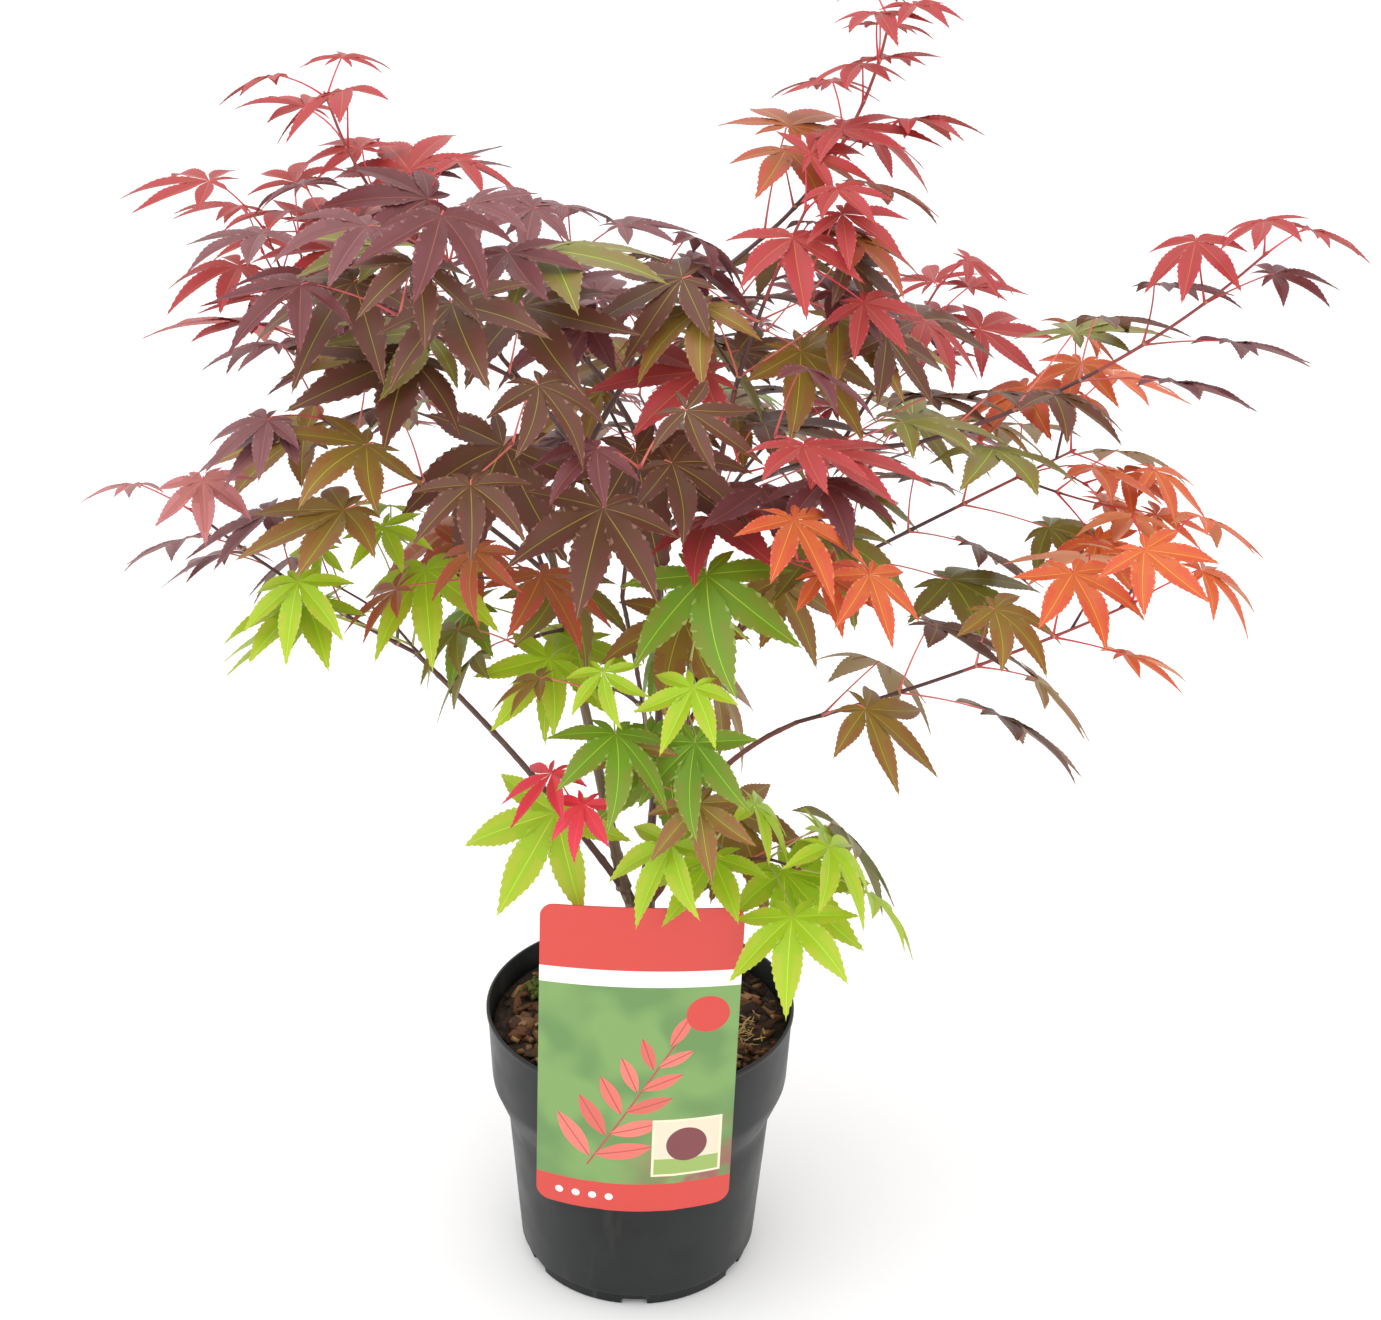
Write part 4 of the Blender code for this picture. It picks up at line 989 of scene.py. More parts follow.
@dataclass(frozen=True)
class MixGround:
    """The fine dark stuff between the bark chips of the growing mix."""

    dark: tuple[int, int, int] = (26, 19, 13)
    light: tuple[int, int, int] = (66, 48, 32)
    roughness: float = 0.92

    def material(self) -> bpy.types.Material:
        """Make the growing mix's ground."""
        made, sheet, shader = new_material("growing_mix_ground")
        place = sheet.add("ShaderNodeTexCoord").outputs["Object"]
        grain = place_group(
            sheet, grain_group(), Vector=place, Grain_Scale=420.0, Patch_Scale=260.0, Roughness=0.7
        )
        tone = sheet.mix(grain.outputs["Mottle"], linear(*self.dark), linear(*self.light))
        sheet.put(shader.inputs["Base Color"], tone)
        shader.inputs["Roughness"].default_value = self.roughness
        sheet.bump(shader, grain.outputs["Height"], strength=0.9, distance=0.002)
        return made


@dataclass(frozen=True)
class Motif:
    """A plain almond-shaped leaflet of the label's print: its foot, turn, length and width, in mm."""

    x: float
    z: float
    turn: float
    length: float
    width: float


@dataclass(frozen=True)
class LabelPrint:
    """The label's print: coral head and foot, a white strip, and a soft green field with a plain sprig."""

    coral: tuple[int, int, int] = (206, 60, 50)
    white: tuple[int, int, int] = (246, 244, 240)
    field: tuple[int, int, int] = (120, 158, 86)
    shade: tuple[int, int, int] = (98, 138, 74)
    blush: tuple[int, int, int] = (150, 88, 82)
    petal: tuple[int, int, int] = (220, 110, 96)
    stem: tuple[int, int, int] = (176, 70, 66)
    panel_edge: tuple[int, int, int] = (236, 226, 196)
    panel_back: tuple[int, int, int] = (226, 214, 190)
    lawn: tuple[int, int, int] = (150, 176, 92)
    bush: tuple[int, int, int] = (120, 54, 58)
    foot_top: float = 0.112
    strip_foot: float = 0.251
    strip_top: float = 0.262
    blur_range: tuple[float, float] = (0.42, 0.62)
    fleck_range: tuple[float, float] = (0.38, 0.58)
    blush_rise: tuple[float, float] = (0.112, 0.172)  # the heights over which the blush fades out
    blush_across: tuple[float, float] = (-0.02, 0.045)  # the places across over which it comes in
    stem_span: tuple[float, float] = (0.124, 0.224)
    stem_cross: float = 0.173  # the stem's height where it crosses the label's middle line
    stem_slope: float = 1.765
    stem_half: float = 0.0012
    rib_half: float = 0.00035
    soft_edge: float = 0.0004
    pairs: int = 5
    petal_steps: tuple[int, int, int] = (10, 0, -10)
    panel: tuple[float, float] = (0.031, 0.138)
    panel_half: float = 0.0205
    picture_half: float = 0.019
    lawn_top: float = 0.130
    bush_height: float = 0.140
    bush_radius: float = 0.012
    spot: tuple[float, float] = (0.040, 0.232)
    spot_radius: float = 0.0125
    dots: int = 4
    dot: tuple[float, float] = (-0.044, 0.102)
    dot_step: float = 0.010
    dot_radius: float = 0.0024
    roughness: float = 0.32
    coat: float = 0.25
    coat_roughness: float = 0.2

    def sprig(self) -> list[Motif]:
        """Lay out the sprig: pairs of leaflets up a slanting stem, each smaller, and one at its tip."""
        motifs = []
        for i in range(self.pairs):
            x, z = -26 + 9.0 * i, 130 + 15.9 * i
            size = 36 - 3.0 * i
            motifs.append(Motif(x, z, 124 - 4 * i, size, size * 0.34))
            motifs.append(Motif(x + 2.0, z + 2, 12 + 4 * i, size, size * 0.34))
        motifs.append(Motif(x=19, z=210, turn=62, length=25, width=9))
        return motifs

    def motif_group(self) -> bpy.types.NodeTree:
        """Make the group that masks one leaflet and its midrib."""
        floats = "NodeSocketFloat"
        names = ("X", "Z", "Foot X", "Foot Z", "Cosine", "Sine", "Length", "Width")
        inputs = dict.fromkeys(names, floats)
        sheet, ins, outs = start_group("leaflet", inputs, {"Mask": floats, "Rib": floats})
        dx, dz = sheet.minus(ins["X"], ins["Foot X"]), sheet.minus(ins["Z"], ins["Foot Z"])
        run = sheet.plus(sheet.times(dx, ins["Cosine"]), sheet.times(dz, ins["Sine"]))
        off = sheet.minus(sheet.times(dz, ins["Cosine"]), sheet.times(dx, ins["Sine"]))
        share = sheet.math("DIVIDE", run, ins["Length"], clamp=True)
        bulge = sheet.times(sheet.times(share, sheet.minus(1.0, share)), 2.0)
        wide = sheet.times(bulge, ins["Width"])
        side = sheet.math("ABSOLUTE", off)
        sheet.put(outs["Mask"], sheet.ramp(sheet.minus(wide, side), 0.0, self.soft_edge))
        rib = sheet.below(side, self.rib_half)
        sheet.put(outs["Rib"], sheet.times(rib, sheet.above(wide, self.soft_edge)))
        return sheet.tree

    def material(self) -> bpy.types.Material:
        """Make the label's printed material."""
        made, sheet, shader = new_material("label_print")
        parts = sheet.add("ShaderNodeSeparateXYZ", Vector=sheet.add("ShaderNodeTexCoord").outputs["Object"])
        z = parts.outputs["Z"]
        x = sheet.minus(parts.outputs["X"], sheet.times(sheet.minus(z, POT_HEIGHT), LABEL_LEAN))
        tone = self.ground(sheet, x, z)
        tone = self.lay_stem(sheet, tone, x, z)
        tone = self.lay_leaflets(sheet, tone, x, z)
        tone = self.lay_panel(sheet, tone, x, z)
        tone = self.lay_bands(sheet, tone, z)
        tone = self.lay_spots(sheet, tone, x, z)
        sheet.put(shader.inputs["Base Color"], tone)
        shader.inputs["Roughness"].default_value = self.roughness
        shader.inputs["Coat Weight"].default_value = self.coat
        shader.inputs["Coat Roughness"].default_value = self.coat_roughness
        return made

    def ground(self, sheet: NodeSheet, x: object, z: object) -> object:
        """Give the blurred green field, with its blush low on the right."""
        place = sheet.add("ShaderNodeCombineXYZ", X=x, Y=z, Z=0.0).outputs[0]
        blur = sheet.ramp(sheet.noise(place, Scale=26.0, Detail=1.0), *self.blur_range)
        fleck = sheet.ramp(sheet.noise(place, Scale=60.0, Detail=2.0), *self.fleck_range)
        tone = sheet.mix(blur, linear(*self.field), linear(*self.shade))
        low = sheet.minus(1.0, sheet.ramp(z, *self.blush_rise))
        right = sheet.ramp(x, *self.blush_across)
        return sheet.mix(sheet.times(sheet.times(low, right), fleck), tone, linear(*self.blush))

    def lay_stem(self, sheet: NodeSheet, tone: object, x: object, z: object) -> object:
        """Lay the sprig's slanting stem over the print."""
        low, high = self.stem_span
        off = sheet.minus(sheet.times(x, self.stem_slope), sheet.minus(z, self.stem_cross))
        line = sheet.below(sheet.math("ABSOLUTE", off), self.stem_half)
        on_stem = sheet.times(sheet.times(line, sheet.below(z, high)), sheet.above(z, low))
        return sheet.mix(on_stem, tone, linear(*self.stem))

    def lay_leaflets(self, sheet: NodeSheet, tone: object, x: object, z: object) -> object:
        """Lay the sprig's leaflets over the print, in petal colours that take turns."""
        group = self.motif_group()
        for i, motif in enumerate(self.sprig()):
            turn = math.radians(motif.turn)
            leaflet = place_group(
                sheet,
                group,
                X=x,
                Z=z,
                Foot_X=motif.x / 1000,
                Foot_Z=motif.z / 1000,
                Cosine=math.cos(turn),
                Sine=math.sin(turn),
                Length=motif.length / 1000,
                Width=motif.width / 1000,
            )
            petal = (min(255, c + self.petal_steps[i % 3]) for c in self.petal)
            tone = sheet.mix(leaflet.outputs["Mask"], tone, linear(*petal))
            tone = sheet.mix(leaflet.outputs["Rib"], tone, linear(*self.stem))
        return tone

    def lay_bands(self, sheet: NodeSheet, tone: object, z: object) -> object:
        """Lay the coral head and foot and the white strip over the print."""
        white = sheet.times(sheet.below(z, self.strip_top), sheet.above(z, self.strip_foot))
        coral = sheet.math("ADD", sheet.above(z, self.strip_top), sheet.below(z, self.foot_top), clamp=True)
        return sheet.mix(coral, sheet.mix(white, tone, linear(*self.white)), linear(*self.coral))

    def lay_panel(self, sheet: NodeSheet, tone: object, x: object, z: object) -> object:
        """Lay a framed square with a round bush over the field's lower right corner."""
        edge = self.square(sheet, x, z, self.panel, self.panel_half)
        tone = sheet.mix(edge, tone, linear(*self.panel_edge))
        inside = self.square(sheet, x, z, self.panel, self.picture_half)
        tone = sheet.mix(inside, tone, linear(*self.panel_back))
        tone = sheet.mix(sheet.times(inside, sheet.below(z, self.lawn_top)), tone, linear(*self.lawn))
        bush = self.disc(sheet, x, z, (self.panel[0], self.bush_height), self.bush_radius)
        return sheet.mix(bush, tone, linear(*self.bush))

    def lay_spots(self, sheet: NodeSheet, tone: object, x: object, z: object) -> object:
        """Lay plain discs on the print: a large coral one on the field and small white ones at the foot."""
        tone = sheet.mix(self.disc(sheet, x, z, self.spot, self.spot_radius), tone, linear(*self.coral))
        for i in range(self.dots):
            at = (self.dot[0] + self.dot_step * i, self.dot[1])
            tone = sheet.mix(self.disc(sheet, x, z, at, self.dot_radius), tone, linear(*self.white))
        return tone

    def disc(self, sheet: NodeSheet, x: object, z: object, at: tuple, radius: float) -> object:
        """Mask a plain disc."""
        dx, dz = sheet.minus(x, at[0]), sheet.minus(z, at[1])
        square = sheet.plus(sheet.times(dx, dx), sheet.times(dz, dz))
        return sheet.below(sheet.math("SQRT", square), radius)

    def square(self, sheet: NodeSheet, x: object, z: object, at: tuple, half: float) -> object:
        """Mask a plain square."""
        dx = sheet.math("ABSOLUTE", sheet.minus(x, at[0]))
        dz = sheet.math("ABSOLUTE", sheet.minus(z, at[1]))
        return sheet.below(sheet.math("MAXIMUM", dx, dz), half)


def deselect_all() -> None:
    """Leave nothing selected."""
    bpy.ops.object.select_all(action="DESELECT")


def active() -> bpy.types.Object:
    """Give the object that the last operator made."""
    return bpy.context.view_layer.objects.active


def use(thing: bpy.types.Object) -> None:
    """Select one object alone and make it active."""
    deselect_all()
    thing.select_set(True)
    bpy.context.view_layer.objects.active = thing


def settle(thing: bpy.types.Object, name: str) -> bpy.types.Object:
    """Name a piece and put its place into its mesh."""
    use(thing)
    thing.name = thing.data.name = name
    bpy.ops.object.transform_apply(location=True, rotation=True, scale=True)
    return thing


def modify(thing: bpy.types.Object, kind: str, **values: object) -> None:
    """Add a modifier with some values and apply it.

    Args:
        thing: the object.
        kind: the modifier's type.
        values: its settings by name.
    """
    use(thing)
    bpy.ops.object.modifier_add(type=kind)
    added = thing.modifiers[-1]
    for key, value in values.items():
        setattr(added, key, value)
    bpy.ops.object.modifier_apply(modifier=added.name)


def join(things: list[bpy.types.Object], name: str) -> bpy.types.Object:
    """Join some objects into the first and name it."""
    use(things[0])
    for thing in things[1:]:
        thing.select_set(True)
    bpy.ops.object.join()
    return settle(things[0], name)


def smooth(thing: bpy.types.Object, degrees: float) -> None:
    """Shade a piece smooth, with edges sharper than an angle left sharp."""
    use(thing)
    bpy.ops.object.shade_smooth_by_angle(angle=math.radians(degrees))


def report(thing: bpy.types.Object, slot: str, *nodes: str) -> bpy.types.Object:
    """Put a finished piece on the root body, hide the nodes that it stands for, and log its faces."""
    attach(thing, "root")
    if nodes:
        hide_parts(*nodes)
    faces = thing.data.polygons
    LOG.info("%s: %d faces", thing.name, len(faces))
    return thing


def turned(profile: list[tuple[float, float]], sides: int) -> bpy.types.Object:
    """Shape a solid turned round the Z axis from a circle, by extruding and resizing its rim.

    Args:
        profile: radius and height of each ring in turn.
        sides: how many sides the circle has.

    Returns:
        The closed solid.
    """
    deselect_all()
    radius, height = profile[0]
    bpy.ops.mesh.primitive_circle_add(vertices=sides, radius=radius, location=(0, 0, height))
    bpy.ops.object.mode_set(mode="EDIT")
    bpy.ops.mesh.select_all(action="SELECT")
    for (old_radius, old), (new_radius, new) in zip(profile, profile[1:]):
        bpy.ops.mesh.extrude_region_move(TRANSFORM_OT_translate={"value": (0, 0, new - old)})
        ratio = new_radius / old_radius
        bpy.ops.transform.resize(value=(ratio, ratio, 1), center_override=(0, 0, new))
    bpy.ops.mesh.select_all(action="DESELECT")
    bpy.ops.mesh.select_mode(type="EDGE")
    bpy.ops.mesh.select_non_manifold()
    bpy.ops.mesh.fill_holes(sides=0)
    bpy.ops.mesh.select_all(action="SELECT")
    bpy.ops.mesh.normals_make_consistent(inside=False)
    bpy.ops.object.mode_set(mode="OBJECT")
    return active()


@dataclass
class Pot:
    """The round nursery pot: rim, deep collar, shoulder, tapering body and foot, with drain holes."""

    sides: int = 144
    shoulder: float = 0.0127  # how far the body's top stands in from the rim
    collar_draft: float = 0.0031
    collar_foot: float = 0.131
    holes: int = 6
    hole_width: float = 0.016
    hole_height: float = 0.0045
    hole_depth: float = 0.020
    hole_inset: float = 0.001
    hole_round: float = 0.0015
    finish: MouldedPlastic = field(default_factory=MouldedPlastic)

    def profile(self) -> list[tuple[float, float]]:
        """List the rings from the inner floor, up the wall, over the rim and down to the underside."""
        body_top = RIM_RADIUS - self.shoulder
        inner = [
            (FOOT_RADIUS - WALL - 0.001, 0.0025),
            (FOOT_RADIUS - WALL + 0.0030, 0.011),
            (body_top - 0.0008 - WALL, 0.097),
            (body_top - WALL, 0.106),
            (RIM_RADIUS - 0.0085 - WALL, 0.116),
            (RIM_RADIUS - self.collar_draft - WALL, self.collar_foot),
            (RIM_RADIUS - WALL, POT_HEIGHT - 0.0006),
            (RIM_RADIUS - WALL + 0.0003, POT_HEIGHT - 0.0001),
            (RIM_RADIUS - WALL + 0.0008, POT_HEIGHT),
        ]
        outer = [
            (RIM_RADIUS - 0.0008, POT_HEIGHT),
            (RIM_RADIUS - 0.0002, POT_HEIGHT - 0.0002),
            (RIM_RADIUS, POT_HEIGHT - 0.0007),
            (RIM_RADIUS, POT_HEIGHT - 0.0028),
            (RIM_RADIUS - 0.0003, POT_HEIGHT - 0.0035),
            (RIM_RADIUS - 0.0010, POT_HEIGHT - 0.0040),
            (RIM_RADIUS - self.collar_draft, self.collar_foot),
            (RIM_RADIUS - 0.0036, 0.1275),
            (RIM_RADIUS - 0.0045, 0.125),
            (RIM_RADIUS - 0.0085, 0.115),
            (RIM_RADIUS - 0.0108, 0.1093),
            (body_top, 0.105),
            (body_top - 0.0008, 0.097),
            (FOOT_RADIUS + 0.0036, 0.011),
            (FOOT_RADIUS + 0.0030, 0.0095),
            (FOOT_RADIUS + 0.0012, 0.0080),
            (FOOT_RADIUS + 0.0006, 0.0075),
            (FOOT_RADIUS, 0.0008),
            (FOOT_RADIUS - 0.0008, 0.0),
        ]
        return inner + outer

    def build(self) -> bpy.types.Object:
        """Shape the pot, cut its drain holes and dress it."""
        pot = turned(self.profile(), self.sides)
        cutters = []
        reach = FOOT_RADIUS - self.hole_inset
        for i in range(self.holes):
            turn = math.tau * (i + 0.5) / self.holes
            deselect_all()
            bpy.ops.mesh.primitive_cube_add(
                size=1,
                location=(reach * math.cos(turn), reach * math.sin(turn), 0),
                rotation=(0, 0, turn),
            )
            active().scale = (self.hole_depth, self.hole_width, 2 * self.hole_height)
            cutters.append(active())
        cutter = join(cutters, "drain_cutter")
        modify(cutter, "BEVEL", width=self.hole_round, segments=3, limit_method="ANGLE")
        modify(pot, "BOOLEAN", operation="DIFFERENCE", object=cutter, solver="EXACT")
        bpy.data.objects.remove(cutter)
        settle(pot, "nursery_pot")
        smooth(pot, degrees=28)
        pot.data.materials.append(self.finish.material())
        return report(pot, "pot_plastic", "pot")


MOSS_AT, STRAW_AT = Vector((-0.062, 0.030, 0)), Vector((0.062, -0.018, 0))
BOX_FACES = ((0, 2, 3, 1), (4, 5, 7, 6), (0, 1, 5, 4), (2, 6, 7, 3), (0, 4, 6, 2), (1, 3, 7, 5))


@dataclass
class GrowingMix:
    """The growing mix: a rough dark ground, and the bark chips, moss and straw that lie on it."""

    sides: int = 72
    reach: float = 0.0895
    filling: tuple = ((0.0664, 0.0028), (0.0715, 0.0115), (0.0784, 0.100), (0.0893, 0.131))
    edge: tuple[float, float] = (0.0910, SOIL_LEVEL - 0.006)
    top: float = SOIL_LEVEL - 0.004
    top_reach: float = 0.0880
    ring_step: float = 0.0080
    rings: int = 11
    bumps: tuple = ((70, 3.1, 0.0022), (25, 8.0, 0.002))  # fineness, slice of the noise, height
    settled: float = 0.0012
    sag: float = 0.004  # how much lower the top lies by the wall
    chips: int = 780
    moss: int = 110
    straw: int = 40
    chip_lengths: tuple = (0.008, 0.011, 0.015, 0.021)
    length_range: tuple[float, float] = (0.7, 1.2)
    width_range: tuple[float, float] = (0.35, 0.65)  # in chip lengths
    thick_range: tuple[float, float] = (0.0018, 0.004)
    corner_range: tuple[float, float] = (0.45, 1.0)  # how far out a corner lies
    chip_tilt: float = 0.32
    chip_lift: float = 0.001
    straw_lift: float = 0.0035
    moss_tilt: float = 0.9
    moss_size: tuple[float, float, float] = (0.004, 0.003, 0.003)
    moss_spread: tuple[float, float] = (0.005, 0.006)
    moss_lift: tuple[float, float] = (0.001, 0.005)
    straw_spread: tuple[float, float] = (0.008, 0.010)
    straw_lengths: tuple[float, float] = (0.008, 0.018)
    straw_section: tuple[float, float] = (0.0011, 0.0006)
    heap: float = 0.0016  # how far bits are strewn in height
    trunk_room: float = 0.009
    seed: int = 41
    ground: MixGround = field(default_factory=MixGround)
    browns: tuple = (
        (104, 72, 46), (132, 98, 64), (72, 50, 33), (166, 128, 86), (112, 72, 46), (50, 36, 26),
    )
    moss_green: tuple[int, int, int] = (96, 108, 48)
    straw_yellow: tuple[int, int, int] = (190, 158, 104)

    def surface(self, x: float, y: float) -> float:
        """Give the height of the ground's uneven top at a place."""
        fine, broad = (noise.noise(Vector((x * f, y * f, cut))) * high for f, cut, high in self.bumps)
        return SOIL_LEVEL - self.settled + (fine + broad) - self.sag * (math.hypot(x, y) / self.reach) ** 3

    def build_ground(self) -> bpy.types.Object:
        """Shape the ground: the filling below, and its uneven top."""
        rings = [(self.top_reach - self.ring_step * i, self.top) for i in range(self.rings)]
        ground = turned([*self.filling, self.edge, *rings], self.sides)
        for vert in ground.data.vertices:
            x, y, z = vert.co
            if z > (self.edge[1] + self.top) / 2:
                vert.co.z = self.surface(x, y)
        settle(ground, "growing_mix_ground")
        smooth(ground, degrees=50)
        ground.data.materials.append(self.ground.material())
        return report(ground, "growing_mix", "growing_mix")

    def chip(self, rng: random.Random, size: tuple, at: Vector, tilt: float) -> np.ndarray:
        """Give the eight corners of one rough chip."""
        turn = Matrix.Rotation(rng.uniform(0, math.tau), 3, "Z")
        for axis in "XY":
            turn = turn @ Matrix.Rotation(rng.gauss(0, tilt), 3, axis)
        corners = []
        for k in range(8):
            sign = (1 if k & 1 else -1, 1 if k & 2 else -1, 1 if k & 4 else -1)
            local = Vector(s * e / 2 * rng.uniform(*self.corner_range) for s, e in zip(sign, size))
            corners.append(at + turn @ local)
        return np.array(corners)

    def chip_size(self, rng: random.Random) -> tuple[float, float, float]:
        """Draw a bark chip's length, width and thickness."""
        long = rng.choice(self.chip_lengths) * rng.uniform(*self.length_range)
        return long, long * rng.uniform(*self.width_range), rng.uniform(*self.thick_range)

    def strewn(self, rng: random.Random, middle: Vector, spread: tuple) -> tuple[float, float]:
        """Draw a place in a patch."""
        return middle.x + rng.gauss(0, spread[0]), middle.y + rng.gauss(0, spread[1])

    def build_chips(self) -> bpy.types.Object:
        """Strew the chips over the ground, and a few bits of moss and straw, each in its patch."""
        rng = random.Random(self.seed)
        corners, loops, slots = [], [], []
        moss_slot, straw_slot = len(self.browns), len(self.browns) + 1
        for i in range(self.chips + self.moss + self.straw):
            reach, turn = self.reach * math.sqrt(rng.random()), rng.uniform(0, math.tau)
            x, y = reach * math.cos(turn), reach * math.sin(turn)
            size, slot, tilt, lift = self.chip_size(rng), None, self.chip_tilt, self.chip_lift
            if i >= self.chips + self.moss:
                x, y = self.strewn(rng, STRAW_AT, self.straw_spread)
                size = (rng.uniform(*self.straw_lengths), *self.straw_section)
                slot, lift = straw_slot, self.straw_lift
            elif i >= self.chips:
                x, y = self.strewn(rng, MOSS_AT, self.moss_spread)
                size, slot, tilt = self.moss_size, moss_slot, self.moss_tilt
                lift = rng.uniform(*self.moss_lift)
            by_wall = math.hypot(x, y) > self.reach - size[0] / 2
            if by_wall or math.hypot(x - TRUNK_X, y) < self.trunk_room:
                continue
            at = Vector((x, y, self.surface(x, y) + lift + rng.uniform(0, self.heap)))
            slot = rng.randrange(len(self.browns)) if slot is None else slot
            base = 8 * len(corners)
            corners.append(self.chip(rng, size, at, tilt))
            loops += [base + k for face in BOX_FACES for k in face]
            slots += [slot] * len(BOX_FACES)
        mesh = mesh_of_arrays("bark_chips", np.concatenate(corners), loops, np.full(len(slots), 4), slots)
        finishes = [PlainFinish(f"chip_{i}", brown, 0.85, 0.3) for i, brown in enumerate(self.browns)]
        finishes.append(PlainFinish("moss", self.moss_green, 0.95, 0.2))
        finishes.append(PlainFinish("straw", self.straw_yellow, 0.7, 0.4))
        return report(piece_of_mesh(mesh, finishes), "growing_mix")


@dataclass
class Label:
    """The stiff label: a bowed plate with round corners and a hook over the pot's rim."""

    corner: float = 0.008
    hook_width: float = 0.026
    hook_foot: float = 0.170
    hook_gap: float = 0.0012  # the hook stands this far in from the rim's inner face
    hook_edge: float = 0.0003
    columns: int = 48
    rows: int = 84
    finish: LabelPrint = field(default_factory=LabelPrint)

    def plate(self) -> bpy.types.Object:
        """Shape the plate from a grid: round its corners, bow it and give it its thickness."""
        half, tall = LABEL_WIDTH / 2, (LABEL_TOP - LABEL_FOOT) / 2
        middle = (LABEL_TOP + LABEL_FOOT) / 2
        deselect_all()
        bpy.ops.mesh.primitive_grid_add(
            x_subdivisions=self.columns,
            y_subdivisions=self.rows,
            size=1,
            location=(0, 0, middle),
            rotation=(math.pi / 2, 0, 0),
        )
        active().scale = (LABEL_WIDTH, 2 * tall, 1)
        plate = settle(active(), "label_plate")
        for vert in plate.data.vertices:
            x, z = vert.co.x, vert.co.z - middle
            u, v = (abs(x) - half + self.corner) / self.corner, (abs(z) - tall + self.corner) / self.corner
            if u > 0 and v > 0:
                x = math.copysign(half - self.corner + self.corner * u * math.sqrt(1 - v * v / 2), x)
                z = math.copysign(tall - self.corner + self.corner * v * math.sqrt(1 - u * u / 2), z)
            vert.co = (x, label_front() + label_bow(x, z + middle), z + middle)
        modify(plate, "SOLIDIFY", thickness=LABEL_THICK, offset=-1.0)
        return plate

    def hook(self) -> bpy.types.Object:
        """Shape the hook from a plane: over the rim and down inside it."""
        over = POT_HEIGHT + GAP + LABEL_THICK / 2
        inner = RIM_RADIUS - WALL - self.hook_gap
        inside = -math.sqrt(inner**2 - (self.hook_width / 2) ** 2) + GAP + LABEL_THICK / 2
        front = label_front() + LABEL_THICK * 0.75
        deselect_all()
        bpy.ops.mesh.primitive_plane_add(size=1, location=(0, (front + inside) / 2, over))
        active().scale = (self.hook_width, inside - front, 1)
        hook = settle(active(), "hook")
        bpy.ops.object.mode_set(mode="EDIT")
        bpy.ops.mesh.select_mode(type="EDGE")
        bpy.ops.mesh.select_all(action="DESELECT")
        bpy.ops.object.mode_set(mode="OBJECT")
        for edge in hook.data.edges:
            edge.select = all(hook.data.vertices[i].co.y > inside - 0.0001 for i in edge.vertices)
        bpy.ops.object.mode_set(mode="EDIT")
        bpy.ops.mesh.extrude_region_move(TRANSFORM_OT_translate={"value": (0, 0, self.hook_foot - over)})
        bpy.ops.object.mode_set(mode="OBJECT")
        modify(hook, "SOLIDIFY", thickness=LABEL_THICK, offset=0.0, use_even_offset=True)
        modify(hook, "BEVEL", width=self.hook_edge, segments=2, limit_method="ANGLE")
        return hook

    def build(self) -> bpy.types.Object:
        """Join the plate and its hook, lean the label and dress it."""
        label = join([self.plate(), self.hook()], "hooked_label")
        for vert in label.data.vertices:
            if vert.co.y < -RIM_RADIUS or abs(vert.co.x) > self.hook_width:
                vert.co.x += (vert.co.z - POT_HEIGHT) * LABEL_LEAN
        smooth(label, degrees=40)
        label.data.materials.clear()
        label.data.materials.append(self.finish.material())
        return report(label, "label_print", "label")


def mesh_of_arrays(
    name: str,
    places: np.ndarray,
    loops: np.ndarray | list[int],
    totals: np.ndarray | list[int],
    slots: np.ndarray | list[int],
) -> bpy.types.Mesh:
    """Make a mesh from arrays.

    Args:
        name: the mesh's name.
        places: the vertices' places, one row each.
        loops: the vertices of all faces in turn.
        totals: how many vertices each face has.
        slots: the material slot of each face.

    Returns:
        The mesh, its faces flat until they are smoothed.
    """
    mesh = bpy.data.meshes.new(name)
    mesh.vertices.add(len(places))
    mesh.vertices.foreach_set("co", np.asarray(places, np.float32).ravel())
    mesh.loops.add(len(loops))
    mesh.loops.foreach_set("vertex_index", np.asarray(loops, np.int32))
    mesh.polygons.add(len(totals))
    starts = np.concatenate([[0], np.cumsum(totals)[:-1]])
    mesh.polygons.foreach_set("loop_start", starts.astype(np.int32))
    mesh.polygons.foreach_set("material_index", np.asarray(slots, np.int32))
    mesh.update(calc_edges=True)
    return mesh


def piece_of_mesh(mesh: bpy.types.Mesh, finishes: list[PlainFinish]) -> bpy.types.Object:
    """Make a piece of a mesh, with a finish for each of its slots."""
    piece = bpy.data.objects.new(mesh.name, mesh)
    bpy.context.scene.collection.objects.link(piece)
    for finish in finishes:
        mesh.materials.append(finish.material())
    return piece


def smooth_path(points: list[Vector], step: float) -> tuple[list[Vector], list[float]]:
    """Round a path off through its own points.

    Args:
        points: the path's corners.
        step: the length of one new piece.

    Returns:
        The new points, and the share of the old path that each stands at.
    """
    first = points[0] * 2 - points[1]
    last = points[-1] * 2 - points[-2]
    ring = [first, *points, last]
    out, shares = [], []
    for i in range(1, len(ring) - 2):
        a, b, c, d = ring[i - 1 : i + 3]
        count = max(1, round((c - b).length / step))
        for k in range(count):
            t = k / count
            spot = b * 2 + (c - a) * t + (a * 2 - b * 5 + c * 4 - d) * t**2 + (b * 3 - a - c * 3 + d) * t**3
            out.append(spot / 2)
            shares.append((i - 1 + t) / (len(points) - 1))
    return [*out, points[-1].copy()], [*shares, 1.0]


